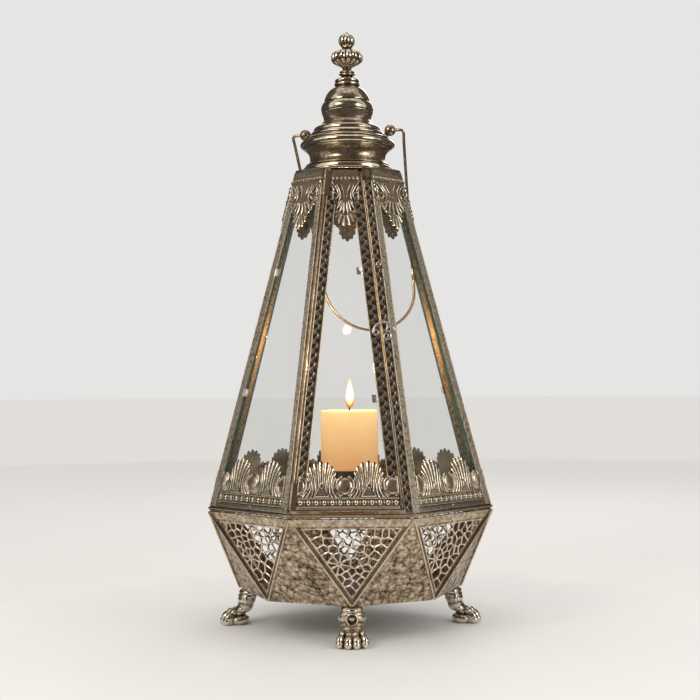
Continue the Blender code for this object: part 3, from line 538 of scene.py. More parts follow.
@dataclass(frozen=True)
class SilverFinish:
    """Silver plate over brass, rubbed bright on its edges by wear, and dark in its hollows from tarnish and painted
    shade.
    """

    name: str
    bright: Colour = (0.72, 0.594, 0.433)
    middle: Colour = (0.27, 0.188, 0.113)
    dark: Colour = (0.028, 0.019, 0.012)
    tarnish: float = 0.38
    clouds: float = 0.5
    specks: float = 0.5
    hollows: float = 0.8
    smooth: float = 0.2
    rough: float = 0.5
    pits: float = 0.05 * MM
    hammer: float = 0.0
    hammer_size: float = 7.0 * MM
    hammer_top: float = 1.0

    def make(self) -> bpy.types.Material:
        """Builds the material: tarnish from clouds and specks, tarnish and painted shade from the hollows, and on
        hammered sheet a painted highlight and shade on each dent, pick its colour and gloss.
        """
        graph = Graph(self.name)
        hollow = graph.term("ShaderNodeAttribute", {"attribute_name": "patina_and_shade"}, {}, "Fac")
        cloud = graph.noise(24 * MM, 4.0)
        speck = graph.noise(3.2 * MM, 5.0)
        grain = graph.noise(0.8 * MM, 2.0)
        tarnish_and_shade = self.tarnish + (cloud - 0.5) * (2.2 * self.clouds) + (speck - 0.5) * (2.4 * self.specks)
        height = grain * self.pits + speck * (2 * self.pits)
        if self.hammer:
            scale = graph.cells(self.hammer_size, CellMeasure.MIDDLE)
            seam = 1 - graph.cells(self.hammer_size, CellMeasure.SEAM).step(0.0, 0.16)
            petal = graph.cells(self.hammer_size * 0.4, CellMeasure.MIDDLE)
            below = 1 - graph.height().step(self.hammer_top - 1 * MM, self.hammer_top)
            # Painted highlight and shade of the dents: each dent is lighter in its middle and darker towards its
            # edge, with darker seams between dents and the same on finer pits.
            tarnish_and_shade = tarnish_and_shade + ((scale - 0.4) * 0.7 + seam * 0.12 + (petal - 0.45) * 0.5) * below
            height = height + (scale * -self.hammer + petal * (-0.5 * self.hammer)) * below
        # Tarnish and painted shade: the hollows darken the colour.
        tarnish_and_shade = (tarnish_and_shade + hollow * self.hollows).held()
        colour = graph.ramp(tarnish_and_shade, (0.0, self.bright), (0.5, self.middle), (1.0, self.dark))
        graph.fill(graph.shader, {
            "Base Color": colour,
            "Metallic": 1 - tarnish_and_shade * 0.3,
            "Roughness": (tarnish_and_shade * (self.rough - self.smooth) + (grain - 0.5) * 0.12 + self.smooth).held(),
        })
        graph.bump(height, 1.0)
        return graph.material


@dataclass(frozen=True)
class GlassFinish:
    """Thin clear sheet glass, faintly green and faintly smeared."""

    name: str = "clear_sheet_glass"
    tint: Colour = (0.15, 0.18, 0.155)
    clear: float = 0.045
    edge_on: float = 0.62

    def make(self) -> bpy.types.Material:
        """Builds the material: a clear sheet that shines, and hides more where it is seen edge on."""
        graph = Graph(self.name)
        facing = graph.term("ShaderNodeLayerWeight", {}, {"Blend": 0.35}, "Facing")
        smear = graph.noise(40 * MM, 3.0, (1.0, 1.0, 0.3))
        graph.fill(graph.shader, {
            "Base Color": (*self.tint, 1.0), "Roughness": 0.05, "IOR": 1.52,
            "Alpha": (facing ** 3 * self.edge_on + (smear - 0.4) * 0.05 + self.clear).held(),
        })
        return graph.material


@dataclass(frozen=True)
class WaxFinish:
    """Cream wax with a painted glow near the flame: the flame's light shining through the wax, painted as emission.
    """

    name: str = "wax_with_painted_glow"
    painted_glow_low: Colour = (0.62, 0.23, 0.04)
    painted_glow_top: Colour = (0.86, 0.60, 0.17)
    top_z: float = 220.4 * MM
    depth: float = 60 * MM

    def make(self) -> bpy.types.Material:
        """Builds the material: the painted glow and a lighter base colour fade down the candle from its top."""
        graph = Graph(self.name)
        cloud = graph.noise(14 * MM, 3.0)
        up = ((graph.height() - (self.top_z - self.depth)) * (1 / self.depth) + (cloud - 0.5) * 0.2).held()
        # Painted light: the base colour is lighter and the emission warmer towards the top, for the flame's light
        # through the wax.
        graph.fill(graph.shader, {
            "Base Color": graph.ramp(up, (0.0, (0.76, 0.48, 0.23)), (1.0, (0.93, 0.70, 0.40))),
            "Emission Color": graph.ramp(up ** 1.4, (0.0, self.painted_glow_low), (1.0, self.painted_glow_top)),
            "Emission Strength": 0.5, "Roughness": 0.42, "Subsurface Weight": 0.25,
            "Subsurface Radius": (0.02, 0.009, 0.004), "Subsurface Scale": 1.0,
        })
        graph.bump(cloud * (0.2 * MM), 1.0)
        return graph.material


@dataclass(frozen=True)
class FlameFinish:
    """A still candle flame: blue and thin at its foot, yellow-white in the middle, orange at the tip."""

    name: str = "candle_flame"
    foot_z: float = 222.0 * MM
    height: float = 31.0 * MM

    def make(self) -> bpy.types.Material:
        """Builds the material: colour and cover change up the flame."""
        graph = Graph(self.name)
        up = ((graph.height() - self.foot_z) * (1 / self.height)).held()
        facing = graph.term("ShaderNodeLayerWeight", {}, {"Blend": 0.5}, "Facing")
        core = (up - facing * 0.35).held()
        glow = graph.ramp(core, (0.0, (0.30, 0.10, 0.03)), (0.14, (1.0, 0.42, 0.07)), (0.34, (1.0, 0.93, 0.68)),
                          (0.70, (1.0, 0.82, 0.42)), (1.0, (1.0, 0.40, 0.05)))
        graph.fill(graph.shader, {
            "Base Color": (0.0, 0.0, 0.0, 1.0), "Roughness": 1.0, "Specular IOR Level": 0.0,
            "Emission Color": glow, "Emission Strength": 2.4, "Alpha": up.step(-0.2, 0.2),
        })
        return graph.material


@dataclass(frozen=True)
class CharFinish:
    """Burnt braided cotton with an ember at its tip."""

    name: str = "charred_cotton"
    ember_z: float = 227.5 * MM

    def make(self) -> bpy.types.Material:
        """Builds the material: black twists, and an ember above a height."""
        graph = Graph(self.name)
        twist = graph.noise(0.6 * MM, 3.0, (1.0, 1.0, 0.4))
        ember = graph.height().step(self.ember_z, self.ember_z + 2 * MM)
        graph.fill(graph.shader, {
            "Base Color": graph.ramp(twist, (0.3, (0.012, 0.010, 0.009)), (0.8, (0.06, 0.045, 0.035))),
            "Emission Color": graph.ramp(ember, (0.0, (0.0, 0.0, 0.0)), (1.0, (1.0, 0.22, 0.03))),
            "Emission Strength": 2.0, "Roughness": 0.95,
        })
        graph.bump(twist * (0.3 * MM), 1.0)
        return graph.material


class Finishes:
    """Every finish of the lantern, each made once."""

    def __init__(self) -> None:
        """Makes the materials."""
        self.polished = SilverFinish("polished_silver", tarnish=0.30, clouds=0.55, specks=0.45, hollows=1.6,
                                     smooth=0.14, rough=0.42, pits=0.03 * MM).make()
        self.spun = SilverFinish("spun_silver", bright=(0.86, 0.74, 0.56), middle=(0.22, 0.15, 0.09), tarnish=0.31,
                                 specks=0.45, hollows=2.6, smooth=0.12, rough=0.42, pits=0.03 * MM).make()
        self.cast = SilverFinish("cast_silver", bright=(0.78, 0.70, 0.58), tarnish=0.34, clouds=0.35, specks=0.35,
                                 hollows=1.5, smooth=0.18).make()
        self.stamped = SilverFinish("stamped_silver", bright=(0.78, 0.683, 0.541), middle=(0.34, 0.254, 0.165),
                                    tarnish=0.40, clouds=0.35, hollows=2.6).make()
        self.sheet = SilverFinish("aged_sheet", bright=(0.88, 0.79, 0.65), middle=(0.42, 0.325, 0.22), tarnish=0.30,
                                  clouds=0.40, specks=1.0, smooth=0.28, rough=0.55, pits=0.08 * MM).make()
        self.embossed = SilverFinish("embossed_strip", bright=(0.72, 0.623, 0.492), middle=(0.2, 0.141, 0.087),
                                     tarnish=0.52, clouds=0.30, specks=0.4, hollows=1.7, smooth=0.25,
                                     rough=0.6).make()
        self.hammered = SilverFinish("hammered_sheet", bright=(0.78, 0.683, 0.541), middle=(0.36, 0.268, 0.174),
                                     tarnish=0.36, clouds=0.22, specks=0.55, smooth=0.22, hammer=1.3 * MM,
                                     hammer_top=115.2 * MM).make()
        self.filigree = SilverFinish("filigree", bright=(0.78, 0.693, 0.571), middle=(0.36, 0.282, 0.200),
                                     tarnish=0.26, clouds=0.35, specks=0.45, hollows=1.2, smooth=0.25).make()
        self.dull = SilverFinish("dull_silver", bright=(0.42, 0.337, 0.245), middle=(0.2, 0.141, 0.087), tarnish=0.5,
                                 smooth=0.4, rough=0.65).make()
        # Painted shade: silver darkened to stand for shadow, on the window borders and the door stop strip.
        self.shadowed = SilverFinish("shadowed_silver", bright=(0.24, 0.183, 0.128), middle=(0.12, 0.085, 0.052),
                                     tarnish=0.5, smooth=0.4, rough=0.65).make()
        self.clip = SilverFinish("clip_silver", bright=(0.96, 0.91, 0.81), middle=(0.64, 0.55, 0.42), tarnish=0.16,
                                 smooth=0.3).make()
        self.glass = GlassFinish().make()
        self.glass_edge = GlassFinish("glass_edge", tint=(0.03, 0.085, 0.058), clear=0.72, edge_on=0.25).make()
        self.wax = WaxFinish().make()
        self.flame = FlameFinish().make()
        self.char = CharFinish().make()


@dataclass
class PiercedBase:
    """Pierced windows and their borders, edge rods and waist of the base."""

    finishes: Finishes
    top_band: float = 9.0 * MM
    side_band: float = 4.0 * MM
    sheet: float = 1.2 * MM
    strand: float = 1.9 * MM
    border: float = 1.35 * MM
    cell: float = 9.3 * MM
    daisy_r: float = 6.2 * MM
    daisy_petals: int = 8
    squareness: int = 9
    least: float = 0.25 * MM
    rod_r: float = 1.1 * MM

    def build(self) -> None:
        """Makes the pieces of the base."""
        for k in range(SIDES):
            self.filigree(k)
        self.borders()
        self.edge_rods()
        self.waist()

    def window(self, k: int) -> tuple[Array, Array, Array]:
        """Corners of the window in the hanging triangle of face k: top left, top right, bottom."""
        left, right, low = SHAPE.waist_corner(k - 1), SHAPE.waist_corner(k), SHAPE.lower_corner(k)
        width, middle = np.linalg.norm(right - left), (left + right) / 2
        drop = np.linalg.norm(middle - low)
        across, down = (right - left) / width, (low - middle) / drop
        side = sqrt((width / 2) ** 2 + drop ** 2)
        top_half = (width / 2) * (1 - self.top_band / drop) - self.side_band * side / drop
        tip = drop - self.side_band * side / (width / 2)
        top = middle + down * self.top_band
        return top - across * top_half, top + across * top_half, middle + down * tip

    def seeds(self, half: float, drop: float, number: int) -> Array:
        """Places the middles of the cells: a daisy left of the centre, and points settled away from each other.

        Each point moves nine times to the mean of the scattered spots that lie nearest to it.

        Args:
            half: Half of the window's width at its top.
            drop: Height of the window.
            number: Number of the face, which picks the scatter.

        Returns:
            Places from the middle of the window's top, across and up. The first is the daisy's own.
        """
        random = np.random.default_rng(30 + number)
        daisy_at = np.array((-0.25 * half, -0.5 * drop))
        turn = 2 * pi * np.arange(self.daisy_petals) / self.daisy_petals + 0.2
        petals = daisy_at + self.daisy_r * np.stack((np.cos(turn), np.sin(turn)), axis=1)
        fixed = np.vstack((daisy_at[None], petals))
        low, high = np.array((-half, -drop)), np.array((half, 0.0))
        spots = random.uniform(low, high, (4000, 2))
        inside = (np.abs(spots[:, 0]) < half * (1 + spots[:, 1] / drop) - 1.5 * MM) & (spots[:, 1] < -1.2 * MM)
        spots = spots[inside & (np.linalg.norm(spots - daisy_at, axis=1) > self.daisy_r + 0.55 * self.cell)]
        free = spots[:int(1.05 * half * drop / self.cell ** 2)]
        for _ in range(9):
            every = np.vstack((fixed, free))
            nearest = np.argmin(((spots[:, None] - every[None]) ** 2).sum(axis=2), axis=1) - len(fixed)
            ours = nearest >= 0
            count = np.maximum(np.bincount(nearest[ours], minlength=len(free)), 1)
            free = np.stack([np.bincount(nearest[ours], spots[ours, axis], len(free)) / count for axis in (0, 1)],
                            axis=1)
        return np.vstack((fixed, free))

    def filigree(self, k: int) -> None:
        """One pierced sheet: round each cell's middle, a ring between its straight outline and a softened hole.

        The outline is the least distance to the half-way lines between middles and to the window's edges. The
        hole is the same with the strand taken off, and its corners rounded by a power mean of those distances.
        """
        left, right, tip = self.window(k)
        middle = (left + right) / 2
        half, drop = np.linalg.norm(right - left) / 2, np.linalg.norm(middle - tip)
        across, up = (right - left) / (2 * half), (middle - tip) / drop
        out = np.cross(across, up)
        lean = np.array((drop, half)) / sqrt(drop ** 2 + half ** 2)
        walls = ((np.array((0.0, 1.0)), 0.0), (np.array((lean[0], -lean[1])), half * lean[0]),
                 (np.array((-lean[0], -lean[1])), half * lean[0]))
        seeds = self.seeds(half, drop, k)
        core = np.arange(len(seeds)) == 0
        made = MeshMaker()
        base = middle - out * SHAPE.shell_wall / 2
        for index, seed in enumerate(seeds):
            others = np.delete(seeds, index, axis=0)
            step = others - seed
            length = np.linalg.norm(step, axis=1)
            near = length < 4 * self.cell
            normals = np.vstack((step[near] / length[near, None], [wall[0] for wall in walls]))
            lean_in = (self.daisy_r * 0.22) * ((index == 0) * -1.0 + (np.delete(core, index)[near]))
            to_walls = [wall[1] - wall[0] @ seed - 0.2 * MM for wall in walls]
            limits = np.concatenate((length[near] / 2 + lean_in, to_walls))
            thick = np.concatenate((np.full(near.sum(), self.strand / 2), np.full(3, self.border)))
            angle = self.corner_angles(normals, limits)
            ray = np.stack((np.cos(angle), np.sin(angle)), axis=1)
            toward = np.maximum(ray @ normals.T, 1e-9)
            outline = (limits / toward).min(axis=1)
            room = np.maximum(limits - thick, self.least)
            hole = ((toward / room) ** self.squareness).sum(axis=1) ** (-1 / self.squareness)
            hole = np.minimum(hole * 1.04, outline - self.least)
            lip = np.minimum(hole + 0.4 * MM, (outline + hole) / 2)
            face = self.sheet / 2
            rows = ((outline, face), (lip, face), (hole, face * 0.3), (hole, -face), (outline, -face))
            flat = [(seed + ray * reach[:, None], level) for reach, level in rows]
            made.grid(np.array([base + p[:, :1] * across + p[:, 1:] * up + level * out for p, level in flat]),
                      wrap_columns=True)
        piece = made.finish(f"filigree_{k + 1}", self.finishes.filigree, Body.LANTERN)
        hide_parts(f"grille_{k + 1}")

    def borders(self) -> None:
        """Margins of the windows in painted shadow: a thin dark plate on each sloping side between the opening and
        the rod.
        """
        made = MeshMaker()
        share = np.linspace(0, 1, 24)[:, None, None]
        width = np.linspace(0.0, 0.93, 5)[None, :, None]
        for k in range(SIDES):
            left, right, tip = self.window(k)
            low = SHAPE.lower_corner(k)
            out = np.cross(right - left, left - tip)
            out = out / np.linalg.norm(out) * (1 if out @ (left + right) > 0 else -1)
            for top, corner in ((left, SHAPE.waist_corner(k - 1)), (right, SHAPE.waist_corner(k))):
                begin = corner + (low - corner) * 0.12
                inner = top + (tip - top) * share
                outer = begin + (low - begin) * share
                front = inner + (outer - inner) * width
                made.slab(front + out * 0.22 * MM, front + out * 0.05 * MM)
        # Painted shadow: the plates take the dark shadowed finish.
        piece = made.finish("window_shadow_borders", self.finishes.shadowed, Body.LANTERN, 50.0)

    def corner_angles(self, normals: Array, limits: Array) -> Array:
        """Picks directions from a cell's middle: an even spread, and one to every corner of its outline.

        Args:
            normals: Direction of each of the lines that bound the cell.
            limits: Distance to each line.

        Returns:
            The angles, in rising order.
        """
        first, second = np.triu_indices(len(normals), 1)
        a, b = normals[first], normals[second]
        area = a[:, 0] * b[:, 1] - a[:, 1] * b[:, 0]
        keep = np.abs(area) > 1e-6
        a, b, p, q, area = a[keep], b[keep], limits[first][keep], limits[second][keep], area[keep]
        meet = np.stack((p * b[:, 1] - q * a[:, 1], q * a[:, 0] - p * b[:, 0]), axis=1) / area[:, None]
        on_outline = (meet @ normals.T <= limits + MERGE).all(axis=1)
        corners = np.arctan2(meet[on_outline, 1], meet[on_outline, 0])
        return np.unique(np.round(np.concatenate((corners, np.linspace(-pi, pi, 26)[:-1])), 3))

    def edge_rods(self) -> None:
        """Round rods over the sloping edges of the base, from each waist corner to the two corners below it."""
        made = MeshMaker()
        along = np.linspace(0, 1, 9)[:, None]
        for k in range(SIDES):
            top = SHAPE.waist_corner(k)
            for low in (SHAPE.lower_corner(k), SHAPE.lower_corner((k + 1) % SIDES)):
                path = top + (low - top) * (0.012 + 0.972 * along)
                out = path * (1, 1, 0)
                made.tube(path + out / np.linalg.norm(out, axis=1)[:, None] * 0.85 * MM, self.rod_r, 10)
        piece = made.finish("base_edge_rods", self.finishes.polished, Body.LANTERN)
        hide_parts("base_edge_moulding")

    def waist(self) -> None:
        """Waist rim: a level line of beads and grooves carried round the eight corners."""
        r, z = SHAPE.waist_r, SHAPE.waist_z
        line = spline(((-2.2, 2.0), (-0.6, 1.95), (-0.9, 1.3), (-0.5, 0.95), (0.5, 0.95), (1.3, 0.6), (1.45, 0.0),
                       (1.2, -0.6), (0.3, -0.9), (-0.2, -1.05), (0.4, -1.3), (0.5, -1.7), (-0.2, -2.0),
                       (-2.2, -2.0)), 57)
        line = np.vstack((line, ((-3.0, 0.0), (-30.0, 0.0), (-30.0, 2.0)))) * MM
        turn = -pi / 2 + HALF_SIDE + 2 * HALF_SIDE * np.arange(SIDES)
        made = MeshMaker()
        radius, height = r + line[None, :, 0], z + line[None, :, 1] + 0 * turn[:, None]
        made.grid(np.stack((radius * np.cos(turn)[:, None], radius * np.sin(turn)[:, None], height), axis=-1),
                  wrap_rows=True, wrap_columns=True)
        piece = made.finish("waist_moulding", self.finishes.polished, Body.LANTERN, 35.0, 0.4)
        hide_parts("waist_rim")


@dataclass
class LionPaw:
    """Cast paw foot: blobs for toes, pads, ankle and knee, melted into one skin.

    bulk holds the blobs on its middle line: place out and up, half-axes, and tilt.
    """

    finishes: Finishes
    out: float = 119.0 * MM
    top: float = 36.3 * MM
    knee_z: float = 24.6 * MM
    voxel: float = 0.62 * MM
    bulk: tuple[tuple[float, float, Triple, float], ...] = (
        (5.0, 12.8, (5.4, 2.0, 2.4), 0.55), (-3.5, 5.2, (10.4, 11.2, 5.0), 0.0),
        (-3.0, 12.0, (7.8, 10.4, 5.4), 0.5), (-6.6, 15.4, (8.0, 10.6, 5.6), 0.4),
        (-10.0, 18.8, (8.2, 11.0, 7.5), 0.2), (-11.4, 25.0, (9.2, 12.8, 7.2), 0.0),
        (-12.4, 28.4, (9.4, 12.4, 6.0), 0.0), (-13.4, 32.0, (9.4, 11.4, 6.2), 0.0),
        (-6.6, 32.2, (3.4, 6.2, 3.4), 0.3),
    )

    def build(self) -> None:
        """Makes the four feet from one melted skin, each turned to its face."""
        skin = self.melted()
        for k, name in enumerate(("front", "right", "back", "left")):
            mesh = skin.copy()
            mesh.name = f"paw_{name}"
            mesh.transform(Matrix.Rotation(SHAPE.face_angle(2 * k), 4, "Z"))
            piece = place_piece(f"paw_{name}", mesh, self.finishes.cast, Body.LANTERN)
            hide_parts(f"foot_{name}")
        bpy.data.meshes.remove(skin)

    def blob(self, made: MeshMaker, centre: Sequence[float], size: Sequence[float], tilt: float = 0.0,
             yaw: float = 0.0) -> None:
        """Adds an egg.

        Args:
            made: Mesh that it goes into.
            centre: Its middle in millimetres from the paw's place.
            size: Its half-axes in millimetres.
            tilt: Angle by which it tips forward.
            yaw: Angle by which it is turned.
        """
        angle = np.linspace(0, pi, 15)
        profile = np.stack((np.sin(angle), -np.cos(angle)), axis=1)
        profile[[0, -1], 0] = 0.001
        place = (Matrix.Translation((self.out + centre[0] * MM, centre[1] * MM, centre[2] * MM))
                 @ Matrix.Rotation(yaw, 4, "Z") @ Matrix.Rotation(tilt, 4, "Y")
                 @ Matrix.Diagonal((size[0] * MM, size[1] * MM, size[2] * MM, 1)))
        made.turned(profile, 22, place)

    def melted(self) -> bpy.types.Mesh:
        """The blobs joined by a voxel remesh and smoothed, with its hollows darkened."""
        made = MeshMaker()
        for side in (-1, 1):
            for reach, spread, size in ((10.3, 3.6, 4.4), (6.4, 11.0, 4.1)):
                self.blob(made, (reach - 1.5, side * spread, 6.4), (6.4, size, 6.2), 0.15, side * spread * 0.04)
                self.blob(made, (reach + 1.8, side * spread * 1.1, 3.9), (4.4, size * 0.92, 3.8))
                self.blob(made, (reach - 4.4, side * spread * 0.9, 12.6), (3.8, size * 0.68, 3.0), 0.5)
                self.blob(made, (reach + 4.7, side * spread * 1.1, 1.9), (1.6, 1.1, 1.5))
            self.blob(made, (-4.0, side * 10.0, 4.6), (7.8, 5.0, 4.4), 0.0, side * 0.2)
            self.curl(made, side)
        for x, z, size, tilt in self.bulk:
            self.blob(made, (x, 0.0, z), size, tilt)
        helper = place_object("paw_helper", made.closed_mesh("paw_blobs", 0.01 * MM))
        melt = helper.modifiers.new("melt", "REMESH")
        melt.mode = "VOXEL"
        melt.voxel_size = self.voxel
        soften = helper.modifiers.new("soften", "SMOOTH")
        soften.factor, soften.iterations = 0.5, 5
        skin = bpy.data.meshes.new_from_object(helper.evaluated_get(bpy.context.evaluated_depsgraph_get()))
        bpy.data.objects.remove(helper)
        self.trim(skin)
        return skin

    def curl(self, made: MeshMaker, side: int) -> None:
        """Adds a leaf scroll on one side of the knee: a bar that winds in as it nears its eye."""
        turn = np.linspace(0, 2.6 * pi, 40)
        reach = np.linspace(4.6, 0.9, 40)
        middle = np.array((self.out - 9.4 * MM, side * 10.2 * MM, self.knee_z))
        path = middle + np.stack((0.4 * reach * np.cos(turn + 1.2), side * -reach * np.cos(turn + 1.2) * 0.55,
                                  reach * np.sin(turn + 1.2)), axis=1) * MM
        made.tube(path, np.linspace(1.25, 0.8, 40) * MM, 8)

    def trim(self, skin: bpy.types.Mesh) -> None:
        """Flattens the sole and the top, sinks the round recess in the knee, and darkens the hollows."""
        points = vertex_rows(skin, "co")
        points[:, 2] = np.clip(points[:, 2], 0.0, self.top)
        front = points[:, 0] > self.out - 8 * MM
        radius = np.hypot(points[:, 1], points[:, 2] - self.knee_z)
        sink = np.clip((4.8 * MM - radius) / (0.9 * MM), 0, 1) * front
        points[:, 0] -= sink.astype(np.float32) * 4.2 * MM
        ring = np.exp(-((radius - 5.2 * MM) / (0.8 * MM)) ** 2) * front
        points[:, 0] += ring.astype(np.float32) * 0.7 * MM
        skin.vertices.foreach_set("co", points.reshape(-1))
        skin.update()
        skin.shade_smooth()
        darken_hollows(skin, 2.2 * MM)


def inset(side: int, amount: float) -> Callable[[Array], Array]:
    """Makes the line that runs up a face beside one of its corners.

    Args:
        side: 1 for the right corner, -1 for the left.
        amount: Distance in from the corner, in millimetres.

    Returns:
        A function from places up the slope to places along the face.
    """
    return lambda v: side * (SHAPE.half_width(v) - amount * MM)


@dataclass(frozen=True)
class FaceStrip:
    """Where a stamped strip lies: its face, its ends up the slope, its middle, its back plane and its body."""

    face: int
    left: Callable[[Array], Array]
    right: Callable[[Array], Array]
    centre: float
    back: float
    body: Body

    def place(self, x: Array, v: Array, proud: Array | float) -> Array:
        """Points a height proud of the strip's back plane, kept between its ends."""
        held = np.clip(x, self.left(v) + 0.05 * MM, self.right(v) - 0.05 * MM)
        return SHAPE.on_face(self.face, held, v, self.back - proud)

    def axes(self) -> tuple[Array, Array, Array]:
        """Unit directions across the face, up its slope and out of it."""
        zero, one = np.array(0.0), np.array(1.0)
        base = SHAPE.on_face(self.face, zero, zero, 0.0)
        return (SHAPE.on_face(self.face, one, zero, 0.0) - base, SHAPE.on_face(self.face, zero, one, 0.0) - base,
                SHAPE.on_face(self.face, zero, zero, -1.0) - base)

    def sheet(self, made: MeshMaker, x: Array, v: Array, proud: Array | float, back: float = 0.1 * MM) -> None:
        """Adds a pressed sheet that stands proud of the back plane, and is closed behind at a level over it."""
        made.slab(self.place(x, v, proud), self.place(x, v, back))

    def stud(self, made: MeshMaker, place: Triple, size: Triple, rings: int = 6, steps: int = 14) -> None:
        """Adds a low half ball, whose lowest circle lies a little under its middle.

        Args:
            made: Mesh that it goes into.
            place: Its middle across the face, up its slope, and proud of the back plane.
            size: Its half-axes in millimetres, across, up and out.
            rings: Number of its circles.
            steps: Number of places round each circle.
        """
        across, up, out = (axis * half * MM for axis, half in zip(self.axes(), size))
        centre = self.place(np.array(place[0]), np.array(place[1]), place[2])
        polar = np.linspace(-0.25 * pi, 0.5 * pi, rings)[:, None, None]
        angle = np.linspace(0, 2 * pi, steps, endpoint=False)[None, :, None]
        level = np.cos(angle) * across + np.sin(angle) * up
        made.grid(centre + np.cos(polar) * level + np.sin(polar) * out, wrap_columns=True)


def door_strip(centre: float) -> FaceStrip:
    """Where a stamped strip lies on the door; centre is the place of its middle along the face."""
    return FaceStrip(0, inset(-1, 6.0), inset(1, 12.0), centre, -0.2 * MM, Body.DOOR)


def bezier(first: Array, middle: Array, last: Array, t: Array) -> Array:
    """A curve of three control values, at the shares t of its way."""
    return first * (1 - t) ** 2 + 2 * middle * t * (1 - t) + last * t ** 2


def pressed(x: Array, y: Array, line: Sequence[Sequence[float]], width: float, tall: float) -> Array:
    """Works out a rounded stroke that tapers to both ends of a smooth line.

    Args:
        x: First coordinate over the grid.
        y: Second coordinate over the grid.
        line: Points that the line passes.
        width: Half of the stroke's width.
        tall: Height of the stroke.

    Returns:
        Heights over the grid: a half circle of the distance from the line.
    """
    points = spline(line, 48)
    reach = width * (0.3 + 0.7 * np.sin(pi * np.linspace(0.1, 0.93, 48)))
    away = (np.hypot(x[..., None] - points[:, 0], y[..., None] - points[:, 1]) / reach).min(axis=-1)
    return tall * np.sqrt(np.clip(1 - away ** 2, 0, 1))


